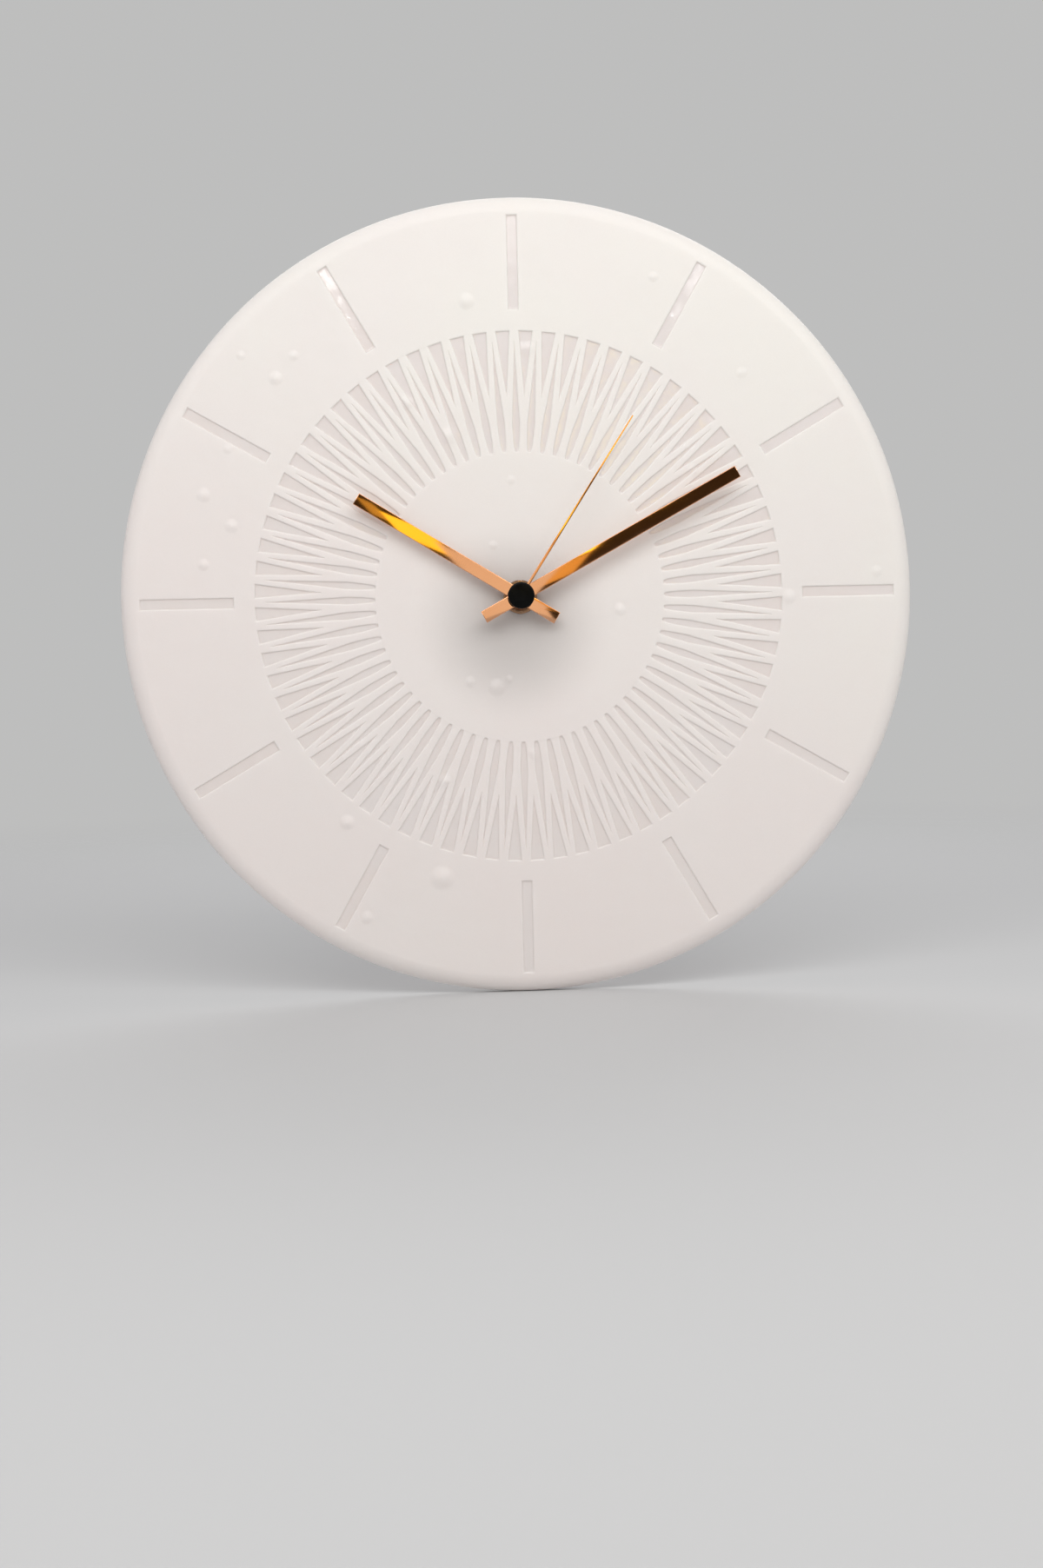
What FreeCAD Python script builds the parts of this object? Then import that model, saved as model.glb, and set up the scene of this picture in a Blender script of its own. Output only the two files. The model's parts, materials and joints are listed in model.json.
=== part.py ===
"""A round wall clock: a thick satin white glass disc with cut hour marks and a cut ring of
leaves, copper hands with a black cap, and a battery movement hung on a steel plate behind it.
Millimetres. The shaft axis is the Y axis, the wall is the plane Y = 0, the dial looks along -Y
and twelve o'clock is up. Depths are counted from the wall towards the front."""
import FreeCAD
import Part
import math
import os

V = FreeCAD.Vector
os.makedirs("parts", exist_ok=True)

# Glass disc
disc_r = 150.0
disc_thick = 8.0
edge_roll = 7.5
edge_drop = 5.0
edge_back_r = 2.5
pocket_deep = 0.8
mark_out_r = 142.3
mark_long = 35.0
mark_wide = 4.0
mark_count = 12
ring_out_r = 99.5
wedge_long = 24.5
wedge_wide = 5.3
leaf_in_r = 54.5
leaf_long = 41.0
leaf_wide = 2.9
leaf_belly = 11.0
leaf_root_wide = 1.5
ring_count = 72

# Hands, seen from the front, turning clockwise from twelve
hour_angle = 301.8
minute_angle = 61.4
second_angle = 33.2
hour_reach = 71.1
minute_reach = 93.6
second_reach = 78.5
hand_tail = 15.9
hand_wide = 4.7
hand_thick = 0.7
eye_r = 4.6
needle_wide = 1.15
needle_tip_wide = 0.55
needle_thick = 0.45
needle_bush_r = 1.5
needle_bush_long = 0.8
cap_r = 4.95
cap_thick = 2.0
cap_edge_r = 0.8

# Fastening stack in front of and behind the glass
bushing_r = 4.0
bushing_proud = 0.3
fit_gap = 0.15
disc_bore_gap = 0.3
dial_washer_r = 5.8
dial_washer_thick = 0.6
nut_r = 6.3
nut_thick = 2.5
nut_chamfer = 0.5
nut_slot_wide = 1.3
nut_slot_deep = 1.0
nut_slots = 4
pad_r = 10.0
pad_thick = 1.2

# Hanger plate
hanger_thick = 0.8
hanger_wide = 18.0
hanger_low = 9.0
hanger_over_case = 2.0
hanger_bend_r = 1.2
hanger_from_wall = 2.4
hanger_tab_tall = 16.0
hanger_hole_r = 3.2
hanger_hole_down = 6.5
hanger_corner_r = 5.0

# Battery and its contacts
battery_r = 7.1
battery_long = 49.3
nub_r = 2.75
nub_long = 1.2
battery_gap = 0.3
contact_thick = 0.4
contact_wide = 7.0
plus_boss = 0.35
plus_boss_r = 2.0
leaf_spring_reach = 1.85
leaf_spring_tall = 11.0
touch_gap = 0.05

# Movement case
wall = 1.2
corner_r = 3.0
lid_thick = 1.2
partition_thick = 1.0
snap_long = 4.8
snap_wide = 5.0
snap_thick = 1.0
snap_nub = 0.6
snap_nub_tall = 1.2
snap_rows_shares = (0.07, 0.34)

# Running fits: each outer sleeve is bored one run_gap wider than what turns in it
run_gap = 0.06
arbor_r = 0.55
minute_pipe_r = 1.6
hour_pipe_r = 2.55
pipe_proud = 0.2
hand_gap = 0.7
pivot_r = 0.4
boss_r = 1.5
boss_tall = 2.2
stud_r = 0.6

# Gear train, counted in teeth; modules in millimetres
wheel_thick = 0.8
pinion_extra = 0.4
level_depth = 1.4
level_gap = 2.3
hub_r = 2.6
train_module = 0.3
rotor_module = 0.2
motion_module = 0.35
second_teeth = 60
inter_leaves = 10
inter_teeth = 60
rotor_leaves = 12
second_leaves = 8
third_teeth = 60
third_leaves = 8
centre_teeth = 64
minute_leaves = 12
motion_teeth = 36
motion_leaves = 10
hour_teeth = 40
knob_leaves = 12
root_share = 1.15
tip_share = 0.8
wheel_fill_share = 0.42
leaf_fill_share = 0.36
tip_fill_share = 0.5
third_way = 180.0
inter_way = 60.0
rotor_way = 130.0
motion_way = 0.0
knob_way = 20.0

# Setting knob and its cup in the back cover
knob_r = 5.4
knob_thick = 2.8
knob_sunk = 0.4
knob_grips = 20
knob_grip_deep = 0.25
cup_gap = 0.6
cup_wall = 0.5
cup_floor = 0.7
stem_r = 1.1

# Bridge over the train
bridge_thick = 1.0
bridge_gap = 0.8
bridge_half = 2.2
post_r = 1.4
post_pin_r = 0.7
post_pin_proud = 0.3
post_shares = ((-0.32, 0.19), (0.33, 0.215), (0.24, -0.145))

# Stepping motor
magnet_r = 2.4
magnet_thick = 2.2
stator_hole_r = 3.0
stator_half_tall = 3.7
stator_left = 14.6
stator_right = 15.4
stator_thick = 1.0
stator_sunk = 4.8
arm_wide = 4.0
core_rise = 8.0
core_tall = 2.0
core_thick = 0.8
core_cover = 0.4
bobbin_gap = 0.5
bobbin_fit = 0.05
flange_r = 3.9
flange_thick = 0.8
barrel_r = 1.8
winding_r = 3.5

# Circuit board
board_wide = 11.6
board_tall = 18.6
board_thick = 1.0
board_rise = 0.9
board_side_gap = 0.6
board_peg_r = 1.2
board_peg_shares = (0.2, 0.8)
chip_r = 3.0
chip_tall = 1.2
chip_height_share = 0.3
crystal_r = 1.05
crystal_long = 6.2
crystal_height_share = 0.78
strap_tall = 3.0

# One overrun for every through cut
over = 1.0

# Depths and sizes that follow from the values above
case_depth = wall + 2 * battery_gap + 2 * battery_r
case_wide = (2 * (wall + contact_thick + touch_gap) + battery_long + nub_long
             + plus_boss + leaf_spring_reach)
half = case_wide / 2
inside = half - wall
front_inner = case_depth - wall
bay_top = -inside + 2 * (battery_r + battery_gap)
hanger_front = case_depth + hanger_thick
disc_back = hanger_front + pad_thick
disc_front = disc_back + disc_thick
washer_front = disc_front + dial_washer_thick
nut_front = washer_front + nut_thick
bushing_front = nut_front + bushing_proud
hour_near = bushing_front + hand_gap
hour_far = hour_near + hand_thick
hour_pipe_end = hour_far + pipe_proud
minute_near = hour_pipe_end + hand_gap + run_gap + hand_gap
minute_far = minute_near + hand_thick
minute_pipe_end = minute_far + pipe_proud
needle_near = minute_pipe_end + hand_gap + needle_bush_long
needle_far = needle_near + needle_thick
cap_far = needle_far + cap_thick
minute_bore_r = arbor_r + run_gap
hour_bore_r = minute_pipe_r + run_gap
bushing_bore_r = hour_pipe_r + run_gap
pivot_hole_r = pivot_r + run_gap


# Shapes

def rod(spot, near, far, radius):
    """A round bar along the shaft direction between two depths."""
    return Part.makeCylinder(radius, far - near, V(spot[0], -near, spot[1]), V(0, -1, 0))


def tube(spot, near, far, outer, inner):
    """A round sleeve between two depths."""
    return rod(spot, near, far, outer).cut(rod(spot, near - over, far + over, inner))


def slab(x_low, x_high, near, far, z_low, z_high):
    """A block given by its limits across, in depth and upwards."""
    return Part.makeBox(x_high - x_low, far - near, z_high - z_low, V(x_low, -far, z_low))


def plate(points, near, far):
    """A flat piece with corners given across and upwards, between two depths."""
    corners = [V(x, -near, z) for x, z in points]
    face = Part.Face(Part.makePolygon(corners + corners[:1]))
    return face.extrude(V(0, near - far, 0))


def round_square(side_half, radius, near, far):
    """A square plate with rounded corners, centred on the shaft."""
    body = slab(-side_half, side_half, near, far, -side_half, side_half)
    edges = [e for e in body.Edges if abs(e.Vertexes[0].Y - e.Vertexes[1].Y) > (far - near) / 2]
    return body.makeFillet(radius, edges)


def lathe(spot, points):
    """A turned piece from corners given as radius and depth."""
    corners = [V(spot[0] + r, -depth, spot[1]) for r, depth in points]
    face = Part.Face(Part.makePolygon(corners + corners[:1]))
    return face.revolve(V(spot[0], 0, spot[1]), V(0, 1, 0), 360)


def step_from(spot, distance, way):
    """The spot a distance away, the way counted in degrees from +X towards +Z."""
    angle = math.radians(way)
    return (spot[0] + distance * math.cos(angle), spot[1] + distance * math.sin(angle))


def clock_way(angle):
    """A clockwise clock angle as a way from +X towards +Z."""
    return 90 - angle


def gear(teeth, module, spot, near, far, turn, fill):
    """A toothed disc; turn is the way of one tooth, fill the tooth's share of the pitch."""
    pitch_r = teeth * module / 2
    step = 360 / teeth
    wide = step * fill / 2
    flank = [(pitch_r - root_share * module, -wide), (pitch_r, -wide),
             (pitch_r + tip_share * module, -wide * tip_fill_share)]
    tooth = flank + [(r, -offset) for r, offset in reversed(flank)]
    ways = [(r, turn + i * step + offset) for i in range(teeth) for r, offset in tooth]
    return plate([step_from(spot, r, way) for r, way in ways], near, far)


def meshed(turn, teeth, other_teeth, way):
    """The turn that puts the other gear, which lies this way, in mesh."""
    past = (way - turn) * teeth / 360
    return way + 180 - (0.5 - past) * 360 / other_teeth


def level(index):
    """The middle depth of a gear level, counted backwards from the front wall."""
    return front_inner - level_depth - index * level_gap


def wheel_at(index, teeth, module, spot, turn, extra=0.0, fill=wheel_fill_share):
    """A gear centred on a level, thicker by extra."""
    reach = (wheel_thick + extra) / 2
    return gear(teeth, module, spot, level(index) - reach, level(index) + reach, turn, fill)


def pinion_at(index, leaves, module, spot, turn):
    """A pinion centred on a level, a little wider than its wheel."""
    return wheel_at(index, leaves, module, spot, turn, pinion_extra, leaf_fill_share)


def save(name, shape):
    """One step file for a named piece."""
    shape.exportStep(os.path.join("parts", name + ".step"))


# Where the arbors stand
shaft = (0.0, 0.0)
third_gap = (second_leaves + third_teeth) * train_module / 2
centre_module = 2 * third_gap / (third_leaves + centre_teeth)
inter_gap = (second_teeth + inter_leaves) * train_module / 2
rotor_gap = (inter_teeth + rotor_leaves) * rotor_module / 2
motion_gap = (minute_leaves + motion_teeth) * motion_module / 2
hour_module = 2 * motion_gap / (motion_leaves + hour_teeth)
knob_gap = (motion_teeth + knob_leaves) * motion_module / 2
third = step_from(shaft, third_gap, third_way)
inter = step_from(shaft, inter_gap, inter_way)
rotor = step_from(inter, rotor_gap, rotor_way)
motion = step_from(shaft, motion_gap, motion_way)
knob = step_from(motion, knob_gap, knob_way)
posts = [(x * case_wide, z * case_wide) for x, z in post_shares]

# Gear levels, from the front wall back
hour_level = 0
motion_level = 1
centre_level = 2
third_level = 3
second_level = 4

bridge_far = level(second_level) - wheel_thick / 2 - bridge_gap
bridge_near = bridge_far - bridge_thick
arbor_near = bridge_near
boss_near = front_inner - boss_tall
pivot_far = boss_near + boss_tall / 2
cup_deep = knob_sunk + knob_thick + fit_gap
cup_r = knob_r + cup_gap
stator_far = front_inner - stator_sunk
stator_near = stator_far - stator_thick
core_near = stator_near - core_thick
core_z = rotor[1] + core_rise
board_far = front_inner - board_rise
board_near = board_far - board_thick
board_low = bay_top + partition_thick + contact_thick
board_left = -inside + board_side_gap


# Glass and hands

def pocket(points_along, way):
    """A cut of pocket depth, its corners given outwards and sideways along a way."""
    angle = math.radians(way)
    out = (math.cos(angle), math.sin(angle))
    side = (-out[1], out[0])
    near = disc_front - pocket_deep
    spots = [(r * out[0] + s * side[0], r * out[1] + s * side[1]) for r, s in points_along]
    return spots, near


def straight_pocket(points_along, way):
    """A pocket with straight sides."""
    spots, near = pocket(points_along, way)
    return plate(spots, near, disc_front + over)


def leaf_pocket(way):
    """A leaf: a long straight point outwards and a round blunt root inwards."""
    belly_r = leaf_in_r + leaf_belly
    bow_r = leaf_in_r + leaf_belly / 2
    bow = leaf_wide / 2 * math.sin(math.radians(63))
    tip_r = leaf_in_r + leaf_long
    root_half = leaf_root_wide / 2
    root_r = leaf_in_r + root_half
    marks = [(tip_r, 0), (belly_r, leaf_wide / 2), (bow_r, bow), (root_r, root_half), (leaf_in_r, 0),
             (root_r, -root_half), (bow_r, -bow), (belly_r, -leaf_wide / 2)]
    spots, near = pocket(marks, way)
    tip, left, left_bow, left_root, root, right_root, right_bow, right = [V(x, -near, z) for x, z in spots]
    edges = [Part.LineSegment(tip, left), Part.Arc(left, left_bow, left_root),
             Part.Arc(left_root, root, right_root), Part.Arc(right_root, right_bow, right),
             Part.LineSegment(right, tip)]
    face = Part.Face(Part.Wire([edge.toShape() for edge in edges]))
    return face.extrude(V(0, -pocket_deep - over, 0))


def make_disc():
    """The glass: flat face, soft front edge, small back edge, bore and pockets."""
    bore_r = bushing_r + disc_bore_gap
    flat_r = disc_r - edge_roll
    back_r = disc_r - edge_back_r
    bow = math.radians(45)
    roll_mid = V(flat_r + edge_roll * math.sin(bow), -(disc_front - edge_drop * (1 - math.cos(bow))), 0)
    roll = Part.Ellipse(V(flat_r, -(disc_front - edge_drop), 0), edge_roll, edge_drop)
    front_edge = roll.toShape().Curve
    start = V(flat_r, -disc_front, 0)
    side = V(disc_r, -(disc_front - edge_drop), 0)
    low = V(disc_r, -(disc_back + edge_back_r), 0)
    turn = V(back_r + edge_back_r * math.sin(bow), -(disc_back + edge_back_r * (1 - math.cos(bow))), 0)
    end = V(back_r, -disc_back, 0)
    a_start = front_edge.parameter(start)
    a_end = front_edge.parameter(side)
    if a_end < a_start:
        a_end += 2 * math.pi
    arc = Part.ArcOfEllipse(roll, a_start, a_end)
    edges = [Part.LineSegment(V(bore_r, -disc_front, 0), start).toShape(), arc.toShape()]
    edges += [Part.LineSegment(side, low).toShape(), Part.Arc(low, turn, end).toShape(),
              Part.LineSegment(end, V(bore_r, -disc_back, 0)).toShape(),
              Part.LineSegment(V(bore_r, -disc_back, 0), V(bore_r, -disc_front, 0)).toShape()]
    body = Part.Face(Part.Wire(edges)).revolve(V(0, 0, 0), V(0, 1, 0), 360)
    cuts = []
    for i in range(mark_count):
        box = [(mark_out_r, -mark_wide / 2), (mark_out_r, mark_wide / 2),
               (mark_out_r - mark_long, mark_wide / 2), (mark_out_r - mark_long, -mark_wide / 2)]
        cuts.append(straight_pocket(box, clock_way(i * 360 / mark_count)))
    for i in range(ring_count):
        way = clock_way(i * 360 / ring_count)
        cuts.append(leaf_pocket(way))
        wedge = [(ring_out_r - wedge_long, 0), (ring_out_r, -wedge_wide / 2), (ring_out_r, wedge_wide / 2)]
        cuts.append(straight_pocket(wedge, way + 180 / ring_count))
    return body.cut(Part.makeCompound(cuts))


def bar_points(way, reach, tail, wide, tip_wide):
    """The corners of a blade that lies through the shaft."""
    along = math.radians(way)
    out = (math.cos(along), math.sin(along))
    side = (-out[1], out[0])
    marks = [(-tail, -wide / 2), (reach, -tip_wide / 2), (reach, tip_wide / 2), (-tail, wide / 2)]
    return [(r * out[0] + s * side[0], r * out[1] + s * side[1]) for r, s in marks]


def make_hand(angle, reach, near, far, pipe_r):
    """A baton hand with a tail, an eye and a hole that seats on its pipe."""
    blade = plate(bar_points(clock_way(angle), reach, hand_tail, hand_wide, hand_wide), near, far)
    return blade.fuse(rod(shaft, near, far, eye_r)).cut(rod(shaft, near - over, far + over, pipe_r))


def make_second_hand():
    """A thin needle with a short bush; the cap covers its root."""
    points = bar_points(clock_way(second_angle), second_reach, 0, needle_wide, needle_tip_wide)
    needle = plate(points, needle_near, needle_far)
    bush = rod(shaft, needle_near - needle_bush_long, needle_far, needle_bush_r)
    return bush.fuse(needle).cut(rod(shaft, needle_near - needle_bush_long - over, needle_far + over, arbor_r))


def make_cap():
    """The black cap: a low turned button with a bevelled rim, bored blind for the arbor."""
    rim = cap_r - cap_edge_r
    body = lathe(shaft, [(0, needle_far), (cap_r, needle_far), (cap_r, cap_far - cap_edge_r),
                         (cap_r - cap_edge_r / 3, cap_far - cap_edge_r / 3), (rim, cap_far), (0, cap_far)])
    return body.cut(rod(shaft, needle_far - over, needle_far + cap_thick / 2, arbor_r))


def make_nut():
    """A round brass nut with spanner slots."""
    body = lathe(shaft, [(bushing_r, washer_front), (nut_r, washer_front), (nut_r, nut_front - nut_chamfer),
                         (nut_r - nut_chamfer, nut_front), (bushing_r, nut_front)])
    slots = []
    for i in range(nut_slots):
        slot = slab(nut_r - nut_slot_deep, nut_r + over, washer_front + nut_chamfer, nut_front + over,
                    -nut_slot_wide / 2, nut_slot_wide / 2)
        slot.rotate(V(0, 0, 0), V(0, 1, 0), i * 360 / nut_slots)
        slots.append(slot)
    return body.cut(Part.makeCompound(slots))


# Hanger

def quarter_bend(y_mid, z_mid, y_way, z_way):
    """A quarter of the bent sheet about a line along X, in the quarter the two ways point to."""
    outer_r = hanger_bend_r + hanger_thick
    left = -hanger_wide / 2
    ring = Part.makeCylinder(outer_r, hanger_wide, V(left, y_mid, z_mid), V(1, 0, 0))
    ring = ring.cut(Part.makeCylinder(hanger_bend_r, hanger_wide, V(left, y_mid, z_mid), V(1, 0, 0)))
    corner = V(left, min(y_mid, y_mid + y_way * outer_r), min(z_mid, z_mid + z_way * outer_r))
    return ring.common(Part.makeBox(hanger_wide, outer_r, outer_r, corner))


def make_hanger():
    """A steel strip: a leg clamped under the nut, a shelf over the case and a tab with the nail hole."""
    bend = hanger_bend_r + hanger_thick
    shelf_top = half + hanger_over_case + hanger_thick
    tab_front = hanger_from_wall + hanger_thick
    side = hanger_wide / 2
    leg = slab(-side, side, case_depth, hanger_front, -hanger_low, shelf_top - bend)
    shelf = slab(-side, side, tab_front + hanger_bend_r, hanger_front - bend,
                 shelf_top - hanger_thick, shelf_top)
    tab_low = shelf_top - hanger_thick + bend
    tab_top = tab_low + hanger_tab_tall
    tab = slab(-side, side, hanger_from_wall, tab_front, tab_low, tab_top)
    edges = [e for e in tab.Edges
             if min(v.Z for v in e.Vertexes) > tab_top - hanger_thick / 2
             and abs(e.Vertexes[0].Y - e.Vertexes[1].Y) > hanger_thick / 2]
    tab = tab.makeFillet(hanger_corner_r, edges)
    front_bend = quarter_bend(-(hanger_front - bend), shelf_top - bend, -1, 1)
    back_bend = quarter_bend(-(tab_front + hanger_bend_r), tab_low, 1, -1)
    body = leg.fuse([shelf, tab, front_bend, back_bend])
    hole = rod((0.0, tab_top - hanger_hole_down), hanger_from_wall - over, tab_front + over, hanger_hole_r)
    shaft_hole = rod(shaft, case_depth - over, hanger_front + over, bushing_r + fit_gap)
    return body.cut([hole, shaft_hole]).removeSplitter()


# Movement case

def snap_spots():
    """The heights and sides of the cover's snap legs."""
    return [(side, share * case_wide) for side in (-1, 1) for share in snap_rows_shares]


def make_front_case():
    """The tray: walls, battery bay, bosses, posts and the threaded bushing."""
    body = round_square(half, corner_r, lid_thick, case_depth)
    hollow = round_square(inside, corner_r - wall, lid_thick - over, front_inner)
    body = body.cut(hollow)
    adds = [slab(-inside, inside, lid_thick, front_inner, bay_top, bay_top + partition_thick)]
    adds += [rod(spot, boss_near, front_inner, boss_r) for spot in (third, inter, rotor, knob)]
    adds += [rod(spot, bridge_far, front_inner, post_r) for spot in posts]
    adds += [rod(spot, bridge_near - post_pin_proud, bridge_far, post_pin_r) for spot in posts]
    adds.append(rod(motion, level(motion_level) - wheel_thick, front_inner, stud_r))
    arm_x = (rotor[0] - stator_left + arm_wide / 2, rotor[0] + stator_right - arm_wide / 2)
    adds += [rod((x, rotor[1]), stator_far, front_inner, post_r) for x in arm_x]
    adds += [rod((board_left + board_wide / 2, board_low + share * board_tall), board_far, front_inner,
                 board_peg_r) for share in board_peg_shares]
    adds.append(rod(shaft, case_depth, bushing_front, bushing_r))
    body = body.fuse(adds)
    cuts = [rod(shaft, front_inner - over, bushing_front + over, bushing_bore_r)]
    cuts += [rod(spot, boss_near - over, pivot_far, pivot_hole_r) for spot in (third, inter, rotor)]
    cuts.append(rod(knob, boss_near - over, pivot_far, stud_r + run_gap))
    for side, z in snap_spots():
        x_low, x_high = sorted((side * (inside - over), side * (half + over)))
        cuts.append(slab(x_low, x_high, snap_far - snap_nub_tall - fit_gap, snap_far + fit_gap,
                         z - snap_wide / 2 - fit_gap, z + snap_wide / 2 + fit_gap))
    tail_low = bay_top - over
    tail_high = bay_top + partition_thick + over
    for side in (-1, 1):
        x_low, x_high = sorted((side * (inside - contact_thick), side * inside))
        cuts.append(slab(x_low, x_high, contact_near, contact_far, tail_low, tail_high))
    return body.cut(cuts)


def make_back_cover():
    """The flat back: battery window, a cup for the knob and four snap legs."""
    body = round_square(half, corner_r, 0, lid_thick)
    body = body.cut(slab(-inside, inside, -over, lid_thick + over, -inside, bay_top))
    adds = [rod(knob, 0, cup_deep + cup_floor, cup_r + cup_wall)]
    for side, z in snap_spots():
        outer = side * (inside - fit_gap)
        x_low, x_high = sorted((outer, outer - side * snap_thick))
        adds.append(slab(x_low, x_high, lid_thick, snap_far, z - snap_wide / 2, z + snap_wide / 2))
        x_low, x_high = sorted((outer, outer + side * snap_nub))
        adds.append(slab(x_low, x_high, snap_far - snap_nub_tall, snap_far,
                         z - snap_wide / 2, z + snap_wide / 2))
    body = body.fuse(adds)
    return body.cut([rod(knob, -over, cup_deep, cup_r),
                     rod(knob, cup_deep - over, cup_deep + cup_floor + over, stem_r + run_gap)])


def strap(a, b, near, far):
    """A flat link with round ends between two spots."""
    long = math.hypot(b[0] - a[0], b[1] - a[1])
    way = math.degrees(math.atan2(b[1] - a[1], b[0] - a[0]))
    up = (bridge_half * math.cos(math.radians(way + 90)), bridge_half * math.sin(math.radians(way + 90)))
    points = [(a[0] + up[0], a[1] + up[1]), (a[0] - up[0], a[1] - up[1]),
              (b[0] - up[0], b[1] - up[1]), (b[0] + up[0], b[1] + up[1])]
    pieces = [rod(a, near, far, bridge_half), rod(b, near, far, bridge_half)]
    return plate(points, near, far).fuse(pieces) if long > 0 else pieces[0]


def make_bridge():
    """The back plate of the train: links between its posts and the pivots that it holds."""
    links = [(posts[0], posts[1]), (posts[0], third), (third, shaft), (shaft, posts[2]),
             (shaft, inter), (inter, rotor)]
    straps = [strap(a, b, bridge_near, bridge_far) for a, b in links]
    body = straps[0].fuse(straps[1:]).removeSplitter()
    holes = [rod(spot, bridge_near - over, bridge_far + over, pivot_hole_r)
             for spot in (shaft, third, inter, rotor)]
    holes += [rod(spot, bridge_near - over, bridge_far + over, post_pin_r) for spot in posts]
    return body.cut(holes)


# Train

def arbor(spot, radius):
    """A plain arbor with thinner pivots in the bridge and in the front boss."""
    return rod(spot, bridge_far + run_gap, boss_near - run_gap, radius).fuse(
        rod(spot, arbor_near, pivot_far - run_gap, pivot_r))


def make_second_wheel(turn):
    """The second wheel, its pinion and the long arbor that carries the second hand."""
    body = wheel_at(second_level, second_teeth, train_module, shaft, turn)
    pinion = pinion_at(third_level, second_leaves, train_module, shaft, 0)
    long_arbor = rod(shaft, bridge_far + run_gap, needle_far + cap_thick / 2, arbor_r)
    return body.fuse([pinion, long_arbor, rod(shaft, arbor_near, bridge_far + over, pivot_r)])


def make_inter_wheel(leaf_turn, wheel_turn):
    """The intermediate wheel between the rotor and the second wheel."""
    pinion = pinion_at(second_level, inter_leaves, train_module, inter, leaf_turn)
    wheel = wheel_at(third_level, inter_teeth, rotor_module, inter, wheel_turn)
    return arbor(inter, arbor_r).fuse([pinion, wheel])


def make_third_wheel(wheel_turn, leaf_turn):
    """The third wheel and its pinion."""
    wheel = wheel_at(third_level, third_teeth, train_module, third, wheel_turn)
    pinion = pinion_at(centre_level, third_leaves, centre_module, third, leaf_turn)
    return arbor(third, arbor_r).fuse([wheel, pinion])


def make_centre_wheel(turn):
    """The centre wheel, a friction ring on the minute pipe."""
    wheel = wheel_at(centre_level, centre_teeth, centre_module, shaft, turn)
    hub_reach = (wheel_thick + pinion_extra) / 2
    hub = rod(shaft, level(centre_level) - hub_reach, level(centre_level) + hub_reach, hub_r)
    return wheel.fuse(hub).cut(rod(shaft, level(third_level), level(motion_level), hour_bore_r))


def make_minute_pipe(turn):
    """The minute pipe with its pinion at the back and the hand's seat at the front."""
    pinion = pinion_at(motion_level, minute_leaves, motion_module, shaft, turn)
    near = level(centre_level) - wheel_thick
    pipe = rod(shaft, near, minute_pipe_end, minute_pipe_r)
    return pipe.fuse(pinion).cut(rod(shaft, near - over, minute_pipe_end + over, minute_bore_r))


def make_motion_wheel(wheel_turn, leaf_turn):
    """The minute wheel of the motion work, turning on a stud of the front case."""
    wheel = wheel_at(motion_level, motion_teeth, motion_module, motion, wheel_turn)
    far = level(hour_level) + wheel_thick / 2
    pinion = gear(motion_leaves, hour_module, motion, level(motion_level), far, leaf_turn, leaf_fill_share)
    return wheel.fuse(pinion).cut(rod(motion, level(centre_level), front_inner, stud_r + run_gap))


def make_hour_wheel(turn):
    """The hour wheel and the pipe that carries the hour hand."""
    wheel = wheel_at(hour_level, hour_teeth, hour_module, shaft, turn)
    near = level(hour_level) - wheel_thick / 2
    pipe = rod(shaft, near, hour_pipe_end, hour_pipe_r)
    return wheel.fuse(pipe).cut(rod(shaft, near - over, hour_pipe_end + over, hour_bore_r))


def make_knob(turn):
    """The setting knob: a gripped button, a stem and a pinion."""
    points = []
    for i in range(2 * knob_grips):
        radius = knob_r - (i % 2) * knob_grip_deep
        points.append(step_from(knob, radius, i * 180 / knob_grips))
    button = plate(points, knob_sunk, knob_sunk + knob_thick)
    pinion = pinion_at(motion_level, knob_leaves, motion_module, knob, turn)
    stem = rod(knob, knob_sunk, boss_near - run_gap, stem_r)
    return button.fuse([stem, pinion, rod(knob, knob_sunk, pivot_far - run_gap, stud_r)])


# Motor and electrics

def make_rotor_pinion(turn):
    """The rotor's plastic pinion and arbor."""
    pinion = pinion_at(third_level, rotor_leaves, rotor_module, rotor, turn)
    return arbor(rotor, arbor_r).fuse(pinion)


def magnet_near():
    """The back face of the magnet, centred on the stator."""
    return (stator_near + stator_far - magnet_thick) / 2


def make_stator():
    """The stator sheet: a bar round the rotor and an arm at each end for the coil core."""
    left = rotor[0] - stator_left
    right = rotor[0] + stator_right
    low = rotor[1] - stator_half_tall
    bar_top = rotor[1] + stator_half_tall
    arm_top = core_z + core_tall / 2 + core_cover
    points = [(left, low), (right, low), (right, arm_top), (right - arm_wide, arm_top),
              (right - arm_wide, bar_top), (left + arm_wide, bar_top), (left + arm_wide, arm_top),
              (left, arm_top)]
    body = plate(points, stator_near, stator_far)
    return body.cut(rod(rotor, stator_near - over, stator_far + over, stator_hole_r))


def coil_limits():
    """Where the bobbin starts and ends between the arms."""
    return (rotor[0] - stator_left + arm_wide + bobbin_gap, rotor[0] + stator_right - arm_wide - bobbin_gap)


def cross_rod(x_low, x_high, radius):
    """A round bar along X on the coil's axis."""
    return Part.makeCylinder(radius, x_high - x_low, V(x_low, -(core_near + core_thick / 2), core_z), V(1, 0, 0))


def core_slab(x_low, x_high, gap):
    """The core's section between two places across, grown by a gap."""
    return slab(x_low, x_high, core_near - gap, core_near + core_thick + gap,
                core_z - core_tall / 2 - gap, core_z + core_tall / 2 + gap)


def make_bobbin():
    """The bobbin: a barrel with a flange at each end, slotted for the core."""
    start, end = coil_limits()
    body = cross_rod(start, end, barrel_r)
    body = body.fuse([cross_rod(start, start + flange_thick, flange_r), cross_rod(end - flange_thick, end, flange_r)])
    return body.cut(core_slab(start - over, end + over, bobbin_fit))


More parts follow.
